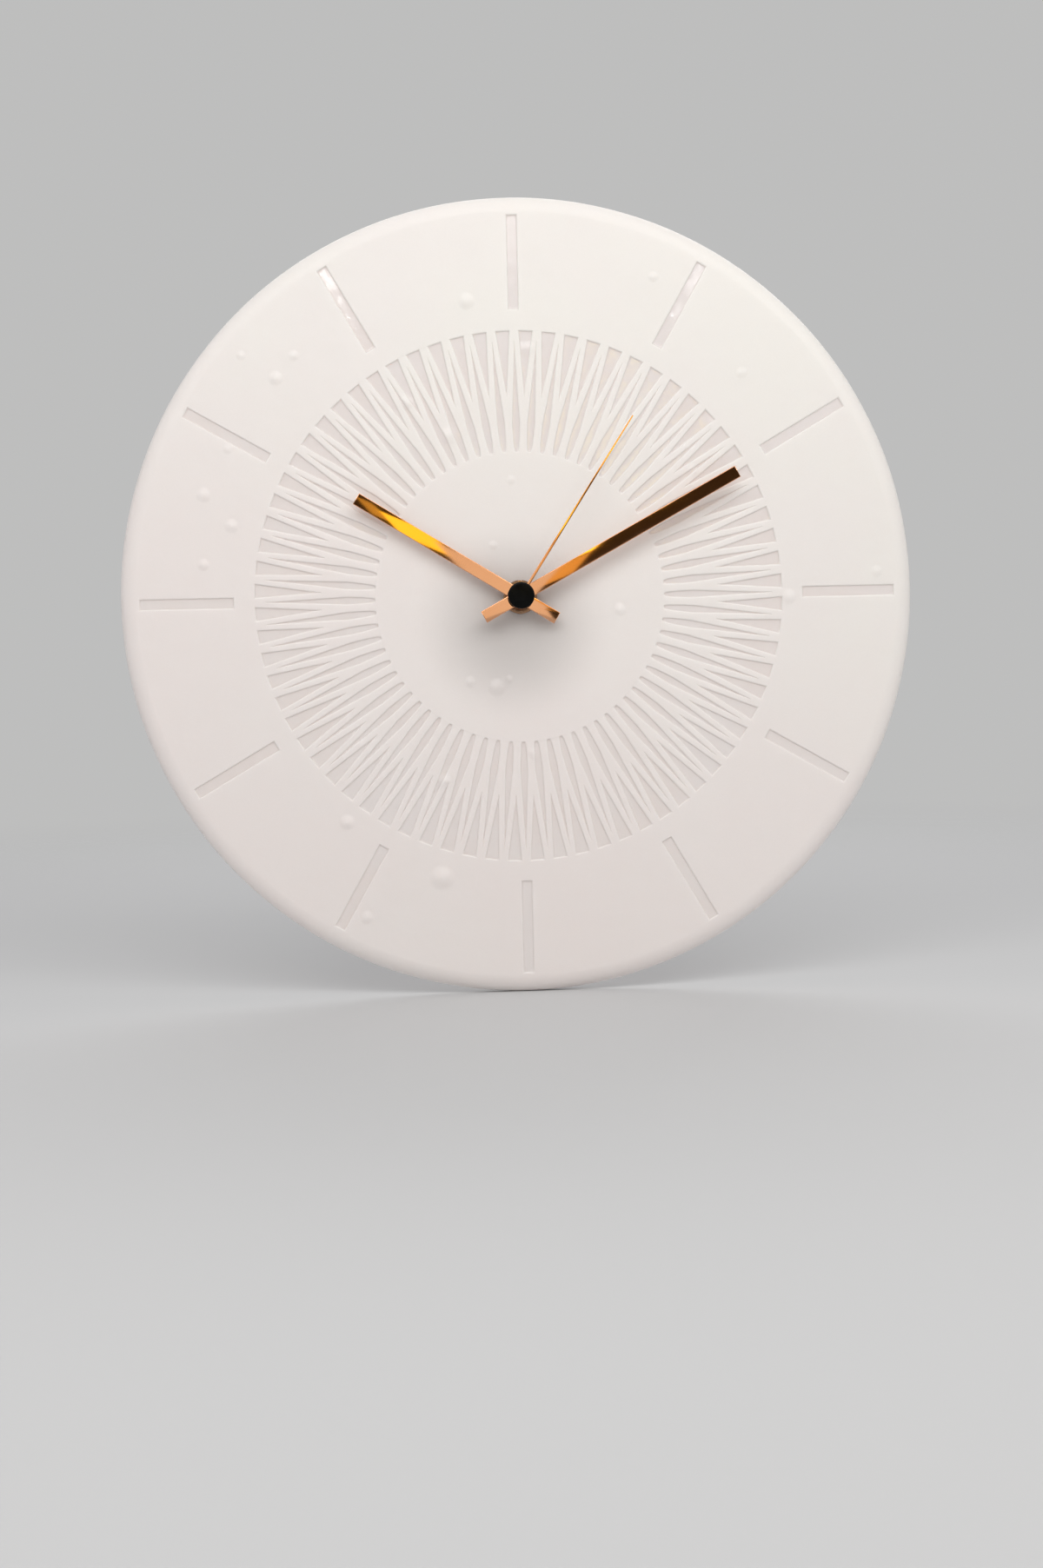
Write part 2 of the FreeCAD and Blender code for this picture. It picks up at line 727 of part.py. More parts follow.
def make_winding():
    """The coil's wire as one sleeve between the flanges."""
    start, end = coil_limits()
    body = cross_rod(start + flange_thick, end - flange_thick, winding_r)
    return body.cut(cross_rod(start, end, barrel_r))


def make_board():
    """The circuit board on its two pegs."""
    return slab(board_left, board_left + board_wide, board_near, board_far, board_low, board_low + board_tall)


def make_chip():
    """The timing chip under its resin drop."""
    ball_r = (chip_r ** 2 + chip_tall ** 2) / (2 * chip_tall)
    x = board_left + board_wide / 2
    z = board_low + board_tall * chip_height_share
    ball = Part.makeSphere(ball_r, V(x, -(board_near - chip_tall + ball_r), z))
    return ball.common(rod((x, z), board_near - 2 * chip_tall, board_near, 2 * chip_r))


def make_crystal():
    """The quartz crystal's can, lying on the board."""
    z = board_low + board_tall * crystal_height_share
    x = board_left + (board_wide - crystal_long) / 2
    return Part.makeCylinder(crystal_r, crystal_long, V(x, -(board_near - crystal_r), z), V(1, 0, 0))


def make_battery():
    """The battery: a can with a plus nub."""
    z = bay_top - battery_gap - battery_r
    start = inside - contact_thick - plus_boss - touch_gap - nub_long - battery_long
    can = Part.makeCylinder(battery_r, battery_long, V(start, -battery_mid, z), V(1, 0, 0))
    return can.fuse(Part.makeCylinder(nub_r, battery_long + nub_long, V(start, -battery_mid, z), V(1, 0, 0)))


def make_plus_contact():
    """The plus contact: a plate with a pressed boss, and a strap to the board."""
    z = bay_top - battery_gap - battery_r
    top = bay_top + partition_thick + strap_tall
    body = slab(inside - contact_thick, inside, contact_near, contact_far, z - contact_wide / 2, top)
    boss = Part.makeCylinder(plus_boss_r, contact_thick + plus_boss, V(inside, -battery_mid, z), V(-1, 0, 0))
    run = slab(board_left + board_wide / 2, inside, board_near, contact_far,
               bay_top + partition_thick, bay_top + partition_thick + contact_thick)
    return body.fuse([boss, run])


def make_minus_contact():
    """The minus contact: a plate with a bowed leaf that presses on the battery."""
    z = bay_top - battery_gap - battery_r
    top = bay_top + partition_thick + strap_tall
    body = slab(-inside, -inside + contact_thick, contact_near, contact_far, z - contact_wide / 2, top)
    apex = -inside + contact_thick + leaf_spring_reach
    foot = -inside + contact_thick
    reach = leaf_spring_tall / 2
    ends = (V(foot, -contact_near, z + reach), V(foot, -contact_near, z - reach))
    back = (V(-inside, -contact_near, z + reach), V(-inside, -contact_near, z - reach))
    outer = Part.Arc(ends[0], V(apex, -contact_near, z), ends[1]).toShape()
    inner = Part.Arc(back[1], V(apex - contact_thick, -contact_near, z), back[0]).toShape()
    sides = [Part.LineSegment(ends[1], back[1]).toShape(), Part.LineSegment(back[0], ends[0]).toShape()]
    face = Part.Face(Part.Wire([outer, sides[0], inner, sides[1]]))
    bow = face.extrude(V(0, contact_near - contact_far, 0))
    shelf = slab(-inside, board_left + board_wide / 4, board_near, contact_far,
                 bay_top + partition_thick, bay_top + partition_thick + contact_thick)
    return body.fuse([bow, shelf])


snap_far = lid_thick + snap_long
battery_mid = front_inner - battery_gap - battery_r
contact_near = battery_mid - contact_wide / 2
contact_far = front_inner

# Turns that put every pair in mesh at rest
inter_leaf_turn = meshed(0, second_teeth, inter_leaves, inter_way)
rotor_turn = meshed(0, inter_teeth, rotor_leaves, rotor_way)
third_turn = meshed(0, second_leaves, third_teeth, third_way)
centre_turn = meshed(0, third_leaves, centre_teeth, third_way + 180)
motion_turn = meshed(0, minute_leaves, motion_teeth, motion_way)
hour_turn = meshed(0, motion_leaves, hour_teeth, motion_way + 180)
knob_turn = meshed(motion_turn, motion_teeth, knob_leaves, knob_way)

save("glass_disc", make_disc())
save("hour_hand", make_hand(hour_angle, hour_reach, hour_near, hour_far, hour_pipe_r))
save("minute_hand", make_hand(minute_angle, minute_reach, minute_near, minute_far, minute_pipe_r))
save("second_hand", make_second_hand())
save("second_cap", make_cap())
save("round_nut", make_nut())
save("dial_washer", tube(shaft, disc_front, washer_front, dial_washer_r, bushing_r + fit_gap))
save("rubber_pad", tube(shaft, hanger_front, disc_back, pad_r, bushing_r + fit_gap))
save("hanger_plate", make_hanger())
save("front_case", make_front_case())
save("back_cover", make_back_cover())
save("wheel_bridge", make_bridge())
save("second_wheel", make_second_wheel(0))
save("intermediate_wheel", make_inter_wheel(inter_leaf_turn, 0))
save("third_wheel", make_third_wheel(third_turn, 0))
save("centre_wheel", make_centre_wheel(centre_turn))
save("minute_pipe", make_minute_pipe(0))
save("motion_wheel", make_motion_wheel(motion_turn, 0))
save("hour_wheel", make_hour_wheel(hour_turn))
save("setting_knob", make_knob(knob_turn))
save("rotor_pinion", make_rotor_pinion(rotor_turn))
save("rotor_magnet", tube(rotor, magnet_near(), magnet_near() + magnet_thick, magnet_r, arbor_r))
save("stator", make_stator())
save("coil_core", core_slab(rotor[0] - stator_left, rotor[0] + stator_right, 0))
save("coil_bobbin", make_bobbin())
save("coil_winding", make_winding())
save("circuit_board", make_board())
save("timing_chip", make_chip())
save("quartz_crystal", make_crystal())
save("battery", make_battery())
save("plus_contact", make_plus_contact())
save("minus_contact", make_minus_contact())
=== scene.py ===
"""A round wall clock of satin white glass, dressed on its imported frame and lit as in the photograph.
Metres, in the frame of the CAD model: the shaft is the Y axis, the wall is the plane Y = 0, the dial
looks along -Y and twelve o'clock is up. Depths are counted from the wall towards the front."""
import json
import math
import bpy
import bmesh
from mathutils import Matrix, Vector, geometry


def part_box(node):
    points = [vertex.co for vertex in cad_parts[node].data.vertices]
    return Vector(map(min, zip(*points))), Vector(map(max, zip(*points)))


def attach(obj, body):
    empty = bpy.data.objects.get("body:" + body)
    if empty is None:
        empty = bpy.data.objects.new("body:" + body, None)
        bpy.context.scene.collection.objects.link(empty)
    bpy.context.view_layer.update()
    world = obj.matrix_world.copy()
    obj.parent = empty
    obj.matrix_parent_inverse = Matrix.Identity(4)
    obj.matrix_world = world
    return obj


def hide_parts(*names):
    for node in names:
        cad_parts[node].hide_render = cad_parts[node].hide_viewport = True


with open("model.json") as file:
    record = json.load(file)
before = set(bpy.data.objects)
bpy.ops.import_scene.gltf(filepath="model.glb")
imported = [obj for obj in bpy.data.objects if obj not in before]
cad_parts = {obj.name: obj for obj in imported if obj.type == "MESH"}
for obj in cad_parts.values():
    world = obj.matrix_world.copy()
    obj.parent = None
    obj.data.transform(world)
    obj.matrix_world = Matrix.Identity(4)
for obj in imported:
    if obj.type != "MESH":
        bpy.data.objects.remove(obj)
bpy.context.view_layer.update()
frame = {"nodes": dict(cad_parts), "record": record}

mm = 0.001

# Camera, as fitted to the photograph
camera_place = Vector((-27.6 * mm, -641.9 * mm, -43.7 * mm))
camera_pan = math.radians(2.455)
camera_tilt = math.radians(-2.482)
camera_roll = math.radians(-1.371)
camera_lens = 37.4
camera_sensor = 36.0

# Glass disc
edge_roll = 7.5 * mm
edge_drop = 5.0 * mm
back_roll = 2.5 * mm
face_ring_past_roll = 0.7 * mm
rim_wander = 0.12 * mm
rim_steps = 360
bore_steps = 48
bushing_r = 4.0 * mm
bore_gap = 0.3 * mm
mark_out = 142.3 * mm
mark_long = 35.0 * mm
mark_wide = 4.0 * mm
mark_count = 12
ring_count = 72
wedge_out = 99.5 * mm
wedge_long = 24.5 * mm
wedge_wide = 5.3 * mm
leaf_in = 54.5 * mm
leaf_long = 41.0 * mm
leaf_belly = 11.0 * mm
leaf_wide = 2.9 * mm
pocket_deep = 0.55 * mm
outline_step = 1.6 * mm
face_round = 0.3 * mm
bore_ring_gap = 1.5 * mm
# Uneven waves round the rim: how many, and where each starts, in radians
rim_waves = ((3, 1), (7, 2), (16, 0))
# Each step of a pocket's wall: how far inside the cut line, and its share of the pocket's depth
wall_steps = ((-0.34 * mm, 0.0), (-0.18 * mm, 0.07), (-0.05 * mm, 0.24), (0.05 * mm, 0.48),
              (0.15 * mm, 0.74), (0.26 * mm, 0.92), (0.40 * mm, 1.0))

# Raised blisters in the glass: clock angle in degrees, then reach, radius and height in millimetres
blisters = (
    (3, 93, 2.6, 0.34), (24, 130, 2.0, 0.22), (30, 119, 1.8, 0.16), (46, 119, 2.2, 0.20),
    (48, 97, 2.2, 0.24), (55, 81, 1.8, 0.20), (60, 111, 2.0, 0.18), (87, 136, 2.2, 0.18),
    (91, 102, 2.8, 0.26), (98, 38, 2.4, 0.24), (163, 95, 1.8, 0.20), (176, 59, 2.4, 0.26),
    (189, 31, 1.5, 0.14), (196, 35, 3.2, 0.34), (197, 110, 4.4, 0.50), (204, 75, 3.0, 0.34),
    (207, 134, 2.4, 0.24), (208, 92, 2.0, 0.22), (212, 37, 2.2, 0.22), (219, 107, 2.8, 0.32),
    (277, 119, 2.2, 0.26), (285, 111, 2.6, 0.30), (289, 124, 2.6, 0.30), (298, 122, 1.8, 0.18),
    (312, 137, 1.8, 0.20), (313, 122, 2.6, 0.28), (318, 123, 2.0, 0.20), (331, 84, 2.6, 0.28),
    (334, 22, 1.8, 0.12), (337, 66, 3.2, 0.34), (348, 95, 1.6, 0.18), (351, 112, 3.0, 0.36),
    (357, 44, 1.8, 0.14))
blister_rings = 5
blister_spokes = 14
# Every blister is drawn this many times as wide and as high
blister_spread = 1.2
blister_rise = 2.0

# Hands, cap and needle
hour_angle = 301.8
minute_angle = 61.4
second_angle = 33.2
hour_reach = 71.1 * mm
minute_reach = 93.6 * mm
second_reach = 78.5 * mm
hand_tail = 15.9 * mm
hand_wide = 4.7 * mm
eye_r = 4.6 * mm
hour_pipe_r = 2.55 * mm
minute_pipe_r = 1.6 * mm
hand_roll = 0.24 * mm
needle_wide = 1.15 * mm
needle_tip_wide = 0.55 * mm
needle_thick = 0.45 * mm
needle_bush_r = 1.5 * mm
arbor_r = 0.55 * mm
needle_roll = 0.12 * mm
cap_edge = 0.8 * mm
cap_dome = 0.12 * mm
small_edge = 0.1 * mm
eye_steps = 16
bush_steps = 32
turned_steps = 64

# Stage and light
backdrop_grey = (0.515, 0.515, 0.512)
fill_grey = (0.45, 0.45, 0.455)
floor_grey = (0.60, 0.602, 0.608)
floor_reach = 3.0
floor_fade_start = 0.35
floor_fade_end = 1.3
# Soft lamps: place, target, width, height, watts and colour
soft_lamps = (
    ("soft_lamp_above", (0.05, -0.60, 0.48), (0.01, 0, 0.04), 1.4, 0.4, 4.6, (1.0, 0.99, 0.97)),
    ("soft_lamp_behind", (0.10, 0.95, 0.85), (0, 0, -0.05), 1.6, 0.7, 6.0, (1.0, 0.99, 0.98)))
window_plane = -1.23
# Small windows in front that the copper mirrors: across, up, width, height, watts and colour
windows = (
    ("window_at_hub", 0.028, 0.100, 0.120, 0.120, 0.041, (1.0, 0.94, 0.81)),
    ("window_yellow", -0.058, 0.160, 0.072, 0.070, 0.030, (1.0, 0.80, 0.06)),
    ("window_amber", -0.106, 0.190, 0.024, 0.050, 0.0024, (1.0, 0.70, 0.12)),
    ("window_orange", 0.108, 0.112, 0.040, 0.060, 0.0070, (1.0, 0.64, 0.15)),
    ("window_gold_low", 0.108, 0.182, 0.044, 0.068, 0.030, (1.0, 0.78, 0.10)),
    ("window_gold_high", 0.162, 0.265, 0.084, 0.110, 0.100, (1.0, 0.78, 0.08)),
    ("window_left", -0.152, 0.440, 0.060, 0.060, 0.16, (1.0, 1.0, 1.0)),
    ("window_right", 0.262, 0.460, 0.045, 0.050, 0.11, (1.0, 1.0, 1.0)))
card_plane = -1.36
card_brown = (0.078, 0.056, 0.030)
# The corners of a dark card behind the windows, across and up
card_corners = ((-0.19, 0.15), (0.0, 0.045), (0.125, 0.045), (0.15, 0.10), (0.38, 0.225),
                (0.37, 0.29), (0.24, 0.37), (0.12, 0.37), (-0.17, 0.28))


# Meshes

def spot(across, depth, up):
    """A place given across, in depth from the wall and upwards."""
    return Vector((across, -depth, up))


def turned_way(clock_angle):
    """The outward direction at a clock angle, across and upwards."""
    angle = math.radians(clock_angle)
    return Vector((math.sin(angle), math.cos(angle)))


def ring_of(radius, steps):
    """A circle on the dial."""
    angles = [2 * math.pi * i / steps for i in range(steps)]
    return [Vector((radius * math.cos(angle), radius * math.sin(angle))) for angle in angles]


def box_outline(low, high):
    """An upright rectangle on the dial, anticlockwise from its low corner."""
    return [Vector(low), Vector((high[0], low[1])), Vector(high), Vector((low[0], high[1]))]


class Shell:
    """A mesh being gathered. Places that coincide become one corner."""
    weld = 1e-6

    def __init__(self):
        self.known = {}
        self.places = []
        self.faces = []
        self.kinds = []

    def corner(self, place):
        key = tuple(round(value / self.weld) for value in place)
        if key not in self.known:
            self.known[key] = len(self.places)
            self.places.append(tuple(place))
        return self.known[key]

    def face(self, places, kind=0):
        corners = []
        for place in places:
            index = self.corner(place)
            if index not in corners:
                corners.append(index)
        if len(corners) > 2:
            self.faces.append(corners)
            self.kinds.append(kind)

    def band(self, first, second):
        """Faces between two closed rows of equal count."""
        for i in range(len(first)):
            self.face((first[i - 1], first[i], second[i], second[i - 1]))

    def bands(self, rows):
        """Faces between each row and the next."""
        for first, second in zip(rows, rows[1:]):
            self.band(first, second)

    def mesh(self, name):
        data = bpy.data.meshes.new(name)
        data.from_pydata(self.places, [], self.faces)
        data.polygons.foreach_set("material_index", self.kinds)
        return data


def put(name, data):
    """An object of this data, in the scene."""
    item = bpy.data.objects.new(name, data)
    bpy.context.scene.collection.objects.link(item)
    return item


def shape_of(item):
    """The mesh of an object as Blender works it out."""
    bpy.context.view_layer.update()
    return bpy.data.meshes.new_from_object(item.evaluated_get(bpy.context.evaluated_depsgraph_get()))


def finish_mesh(data):
    """Outward normals, triangles where a face has many corners, and smooth shading."""
    work = bmesh.new()
    work.from_mesh(data)
    bmesh.ops.remove_doubles(work, verts=work.verts, dist=Shell.weld)
    bmesh.ops.triangulate(work, faces=[face for face in work.faces if len(face.verts) > 4])
    bmesh.ops.recalc_face_normals(work, faces=work.faces)
    work.to_mesh(data)
    work.free()
    data.polygons.foreach_set("use_smooth", [True] * len(data.polygons))
    data.update()


def place_piece(name, data, body, materials, replaced=()):
    """A finished mesh as a piece of the clock that rides on a body."""
    piece = put(name, data)
    data.materials.clear()
    for material in materials:
        data.materials.append(material)
    modifier = piece.modifiers.new("Weighted normals", "WEIGHTED_NORMAL")
    modifier.keep_sharp = True
    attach(piece, body)
    if replaced:
        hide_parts(*replaced)


def turned(name, profile, steps):
    """A turned piece; the profile is a closed line of radius and depth."""
    shell = Shell()
    rings = [[spot(place.x, depth, place.y) for place in ring_of(radius, steps)] for radius, depth in profile]
    shell.band(rings[-1], rings[0])
    shell.bands(rings)
    data = shell.mesh(name)
    finish_mesh(data)
    return data


def rounded(corner_r, corner_depth, way_r, way_depth, radius, steps=4):
    """A quarter round from a flat to a wall, as rows of radius and depth. A way is 1 where the round
    lies towards smaller values from the corner, and -1 where it lies towards larger ones."""
    rows = []
    for i in range(steps + 1):
        angle = math.pi / 2 * i / steps
        rows.append((corner_r - way_r * radius * (1 - math.sin(angle)),
                     corner_depth - way_depth * radius * (1 - math.cos(angle))))
    return rows


# Glass disc

disc_low, disc_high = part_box("glass_disc")
disc_front = -disc_low.y
disc_back = -disc_high.y
disc_r = min(disc_high.x, disc_high.z)
flat_r = disc_r - edge_roll
face_ring_r = flat_r + face_ring_past_roll
bore_r = bushing_r + bore_gap
# Each blister as its middle on the dial, radius and height
blister_list = [(turned_way(angle) * reach * mm, radius * blister_spread * mm, height * blister_rise * mm)
                for angle, reach, radius, height in blisters]


def swell(place):
    """How far the glass stands up at a place on the dial."""
    total = 0.0
    for middle, radius, height in blister_list:
        away = (place - middle).length / radius
        if away < 1:
            total += height * (1 - away ** 2) ** 2
    return total


def edge_sink(reach):
    """How far the front face has rolled back at this reach."""
    past = max(0.0, reach - flat_r) / edge_roll
    return edge_drop * (1 - math.sqrt(max(0.0, 1 - past ** 2)))


def on_face(place, sunk=0.0):
    """A place on the dial brought to the glass surface."""
    depth = disc_front - edge_sink(place.length) - sunk + swell(place)
    return spot(place.x, depth, place.y)


def divided(corners):
    """A closed outline with its long edges divided."""
    points = []
    for i, here in enumerate(corners):
        ahead = corners[(i + 1) % len(corners)]
        count = max(1, round((ahead - here).length / outline_step))
        points += [here.lerp(ahead, k / count) for k in range(count)]
    return points


def mark_outline():
    """A straight hour mark along its way, anticlockwise."""
    side = mark_wide / 2
    start = mark_out - mark_long
    return divided(box_outline((start, -side), (mark_out, side)))


def wedge_outline():
    """A wedge with its point inwards."""
    side = wedge_wide / 2
    point = Vector((wedge_out - wedge_long, 0))
    return divided([point, Vector((wedge_out, -side)), Vector((wedge_out, side))])


def leaf_outline():
    """A leaf with a bowed root and a long straight point."""
    root_steps = 9
    bluntness = 0.23
    crowding = 2.5
    lower = []
    for i in range(root_steps + 1):
        share = (i / root_steps) ** crowding
        lower.append(Vector((leaf_in + leaf_belly * share, -leaf_wide / 2 * share ** bluntness)))
    upper = [Vector((point.x, -point.y)) for point in reversed(lower[1:])]
    return divided(lower + [Vector((leaf_in + leaf_long, 0))] + upper)


def moved_outline(outline, inside):
    """An outline moved inwards, mitred and stopped at its middle line, or outwards with round corners.
    Every corner gives the same count of points at any distance."""
    sharp_turn = math.radians(14)
    round_step = math.radians(30)
    points = []
    tips = []
    for i, here in enumerate(outline):
        before = here - outline[i - 1]
        after = outline[(i + 1) % len(outline)] - here
        way = math.atan2(-before.x, before.y)
        turn = math.atan2(before.cross(after), before.dot(after))
        steps = max(2, round(turn / round_step)) if turn > sharp_turn else 0
        if inside < 0:
            for k in range(steps + 1):
                angle = way + (turn * k / steps if steps else turn / 2)
                points.append((here, here - Vector((math.cos(angle), math.sin(angle))) * inside))
        else:
            outward = Vector((math.cos(way + turn / 2), math.sin(way + turn / 2)))
            mitre = here - outward * inside / math.cos(turn / 2)
            points += [(here, mitre)] * (steps + 1)
        if steps and abs(here.y) < Shell.weld:
            tips.append(points[-1][1])
    if inside <= 0 or not tips:
        return [point for source, point in points]
    kept = []
    for source, point in points:
        nearest = min(tips, key=lambda tip: abs(tip.x - source.x))
        kept.append(Vector((nearest.x, 0)) if point.y * source.y < 0 else point)
    return kept


def turned_outline(outline, clock_angle):
    """An outline turned to lie along a clock angle."""
    out = turned_way(clock_angle)
    side = Vector((-out.y, out.x))
    return [out * point.x + side * point.y for point in outline]


def pockets():
    """Every pocket as its rows of wall points, outermost first."""
    marks, wedges, leaves = ([moved_outline(outline, inside) for inside, share in wall_steps]
                             for outline in (mark_outline(), wedge_outline(), leaf_outline()))
    placed = [(marks, i * 360 / mark_count) for i in range(mark_count)]
    for i in range(ring_count):
        placed.append((leaves, i * 360 / ring_count))
        placed.append((wedges, (i + 0.5) * 360 / ring_count))
    return [[turned_outline(row, angle) for row in rows] for rows, angle in placed]


def inside_outline(place, outline):
    """Whether a place lies within an anticlockwise convex outline."""
    return all((outline[i] - outline[i - 1]).cross(place - outline[i - 1]) > 0 for i in range(len(outline)))


def filled(outer, holes, loose=()):
    """Triangles between an outer circle and holes, as triples of places."""
    points = []
    edges = []
    owner = {}
    for number, loop in enumerate([outer] + list(holes)):
        clean = [p for i, p in enumerate(loop) if (p - loop[i - 1]).length > Shell.weld]
        start = len(points)
        points += clean
        edges += [(start + i, start + (i + 1) % len(clean)) for i in range(len(clean))]
        for i in range(len(clean)):
            owner[start + i] = number
    points += list(loose)
    result = geometry.delaunay_2d_cdt(points, edges, [], 0, Shell.weld / 10)
    out_points, _, out_faces, sources = result[:4]
    loops = [{owner.get(source, 0) for source in group} for group in sources]
    triangles = []
    for face in out_faces:
        shared = set.intersection(*[loops[corner] for corner in face])
        if not any(number > 0 for number in shared):
            triangles.append([out_points[corner] for corner in face])
    return triangles


def blister_points(rows_of_pockets):
    """Loose points that give each blister its shape, clear of the pockets."""
    loose = []
    rims = [rows[0] for rows in rows_of_pockets]
    reach = wedge_long
    for middle, radius, height in blister_list:
        near = [rim for rim in rims if min((p - middle).length for p in rim) < reach]
        for ring in range(blister_rings + 1):
            count = blister_spokes if ring else 1
            for spoke in range(count):
                angle = 2 * math.pi * (spoke + ring / 2) / count
                place = middle + Vector((math.cos(angle), math.sin(angle))) * radius * ring / blister_rings
                if not any(inside_outline(place, rim) for rim in near):
                    loose.append(place)
    return loose


def rim_profile():
    """Rows of reach and depth round the edge, from the face to the back."""
    front_steps = 14
    back_steps = 6
    start = math.asin(face_ring_past_roll / edge_roll)
    rows = []
    for i in range(front_steps + 1):
        angle = start + (math.pi / 2 - start) * i / front_steps
        rows.append((flat_r + edge_roll * math.sin(angle), disc_front - edge_drop * (1 - math.cos(angle))))
    for i in range(back_steps + 1):
        angle = math.pi / 2 * i / back_steps
        rows.append((disc_r - back_roll * (1 - math.cos(angle)),
                     disc_back + back_roll * (1 - math.sin(angle))))
    return rows


def rim_place(reach, depth, place):
    """A place on the rim, drawn in a little where the kiln left the edge uneven."""
    angle = math.atan2(place.y, place.x)
    wave = sum(math.sin(count * angle + start) for count, start in rim_waves) / (2 * len(rim_waves)) + 0.5
    ramp = max(0.0, min(1.0, (reach - face_ring_r) / (disc_r - face_ring_r)))
    drawn_in = place.normalized() * (reach - rim_wander * wave * ramp)
    return spot(drawn_in.x, depth, drawn_in.y)


def cut_pockets(shell, rows_of_pockets):
    """The walls and floors of the pockets. Gives each corner's share of the full depth."""
    shares = {}
    for rows in rows_of_pockets:
        levels = []
        for row, (inside, share) in zip(rows, wall_steps):
            level = [on_face(place, pocket_deep * share) for place in row]
            for place in level:
                shares[shell.corner(place)] = share
            levels.append(level)
        shell.bands(levels)
        shell.face(levels[-1])
    return shares


def disc_mesh():
    """The glass: face with pockets and blisters, soft rim, back and bore."""
    shell = Shell()
    rows_of_pockets = pockets()
    outer = ring_of(face_ring_r, rim_steps)
    bore = ring_of(bore_r, bore_steps)
    bore_ring = ring_of(bore_r + bore_ring_gap, bore_steps)
    holes = [bore_ring] + [rows[0] for rows in rows_of_pockets]
    for triangle in filled(outer, holes, blister_points(rows_of_pockets)):
        shell.face([on_face(place) for place in triangle])
    shares = cut_pockets(shell, rows_of_pockets)
    rim = [[on_face(place) for place in outer]]
    rim += [[rim_place(reach, depth, place) for place in outer] for reach, depth in rim_profile()[1:]]
    shell.bands(rim)
    back_edge = [Vector((place.x, place.z)) for place in rim[-1]]
    for triangle in filled(back_edge, [bore]):
        shell.face([spot(place.x, disc_back, place.y) for place in triangle], 1)
    lining = [[on_face(place) for place in bore_ring]]
    lining += [[on_face(place, sunk) for place in ring_of(radius, bore_steps)]
               for radius, sunk in rounded(bore_r, 0, -1, -1, face_round)]
    lining.append([spot(place.x, disc_back, place.y) for place in bore])
    shell.bands(lining)
    data = shell.mesh("glass_disc_dressed")
    sunk = data.attributes.new("sunk", "FLOAT", "POINT")
    for corner, share in shares.items():
        sunk.data[corner].value = share
    finish_mesh(data)
    return data


# Hands

def flat_blank(name, outlines, near, far, roll):
    """A flat blank with rolled edges, from outlines on the dial, between two depths."""
    curve = bpy.data.curves.new(name, "CURVE")
    curve.dimensions = "2D"
    curve.fill_mode = "BOTH"
    curve.extrude = (far - near) / 2 - roll
    curve.bevel_depth = roll
    curve.bevel_resolution = 2
    curve.offset = -roll
    for outline in outlines:
        line = curve.splines.new("POLY")
        line.points.add(len(outline) - 1)
        for point, place in zip(line.points, outline):
            point.co = (place.x, place.y, 0, 1)
        line.use_cyclic_u = True
    holder = put(name + "_outline", curve)
    data = shape_of(holder)
    bpy.data.objects.remove(holder)
    bpy.data.curves.remove(curve)
    data.transform(Matrix.Translation((0, -(near + far) / 2, 0)) @ Matrix.Rotation(math.pi / 2, 4, "X"))
    data.name = name
    finish_mesh(data)
    return data


def arc_points(radius, start, end, steps):
    """Points of an arc about the shaft, in degrees."""
    points = []
    for i in range(steps + 1):
        angle = math.radians(start + (end - start) * i / steps)
        points.append(Vector((radius * math.cos(angle), radius * math.sin(angle))))
    return points


def baton_outline(reach):
    """A straight hand of even width with a round eye and a tail, along its way."""
    side = hand_wide / 2
    meet = math.degrees(math.asin(side / eye_r))
    return ([Vector((reach, -side)), Vector((reach, side))] + arc_points(eye_r, meet, 180 - meet, eye_steps)
            + [Vector((-hand_tail, side)), Vector((-hand_tail, -side))]
            + arc_points(eye_r, 180 + meet, 360 - meet, eye_steps))


def needle_outline():
    """The second hand: a slim tapered needle with a round root."""
    root = needle_wide / 2
    tip = needle_tip_wide / 2
    meet = math.degrees(math.asin(root / needle_bush_r))
    return ([Vector((second_reach, -tip)), Vector((second_reach, tip))]
            + arc_points(needle_bush_r, meet, 360 - meet, bush_steps))


def hand_piece(body, outline, clock_angle, bore, roll, copper):
    """A hand on its pipe, in place of the CAD model's hand."""
    node = body + "_hand"
    low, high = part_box(node)
    near = -high.y
    if body == "second":
        near = -low.y - needle_thick
    loops = [turned_outline(loop, clock_angle) for loop in (outline, ring_of(bore, bore_steps))]
    name = node + "_dressed"
    place_piece(name, flat_blank(name, loops, near, -low.y, roll), body, [copper], (node,))


def hang_hands(copper):
    """The three hands, and the bush that carries the needle."""
    hand_piece("hour", baton_outline(hour_reach), hour_angle, hour_pipe_r, hand_roll, copper)
    hand_piece("minute", baton_outline(minute_reach), minute_angle, minute_pipe_r, hand_roll, copper)
    hand_piece("second", needle_outline(), second_angle, arbor_r, needle_roll, copper)
    low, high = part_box("second_hand")
    near = -high.y
    far = -low.y - needle_thick
    bush = [(arbor_r, near), (needle_bush_r - small_edge, near), (needle_bush_r, near + small_edge),
            (needle_bush_r, far), (arbor_r, far)]
    data = turned("second_hand_bush", bush, bush_steps)
    place_piece("second_hand_bush", data, "second", [copper])


def fit_cap(black):
    """The cap on the needle: a very low dome with a rounded edge."""
    low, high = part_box("second_cap")
    near = -high.y
    top = -low.y
    side = high.x
    crown_reach = 0.6
    crown_fall = 0.3
    line = [(0, top), ((side - cap_edge) * crown_reach, top - cap_dome * crown_fall)]
    line += rounded(side, top - cap_dome, 1, 1, cap_edge, 6)
    line += [(side, near + small_edge), (side - small_edge, near), (0, near)]
    data = turned("second_cap_dressed", line, turned_steps)
    place_piece("second_cap_dressed", data, "second", [black], ("second_cap",))


# Shaders

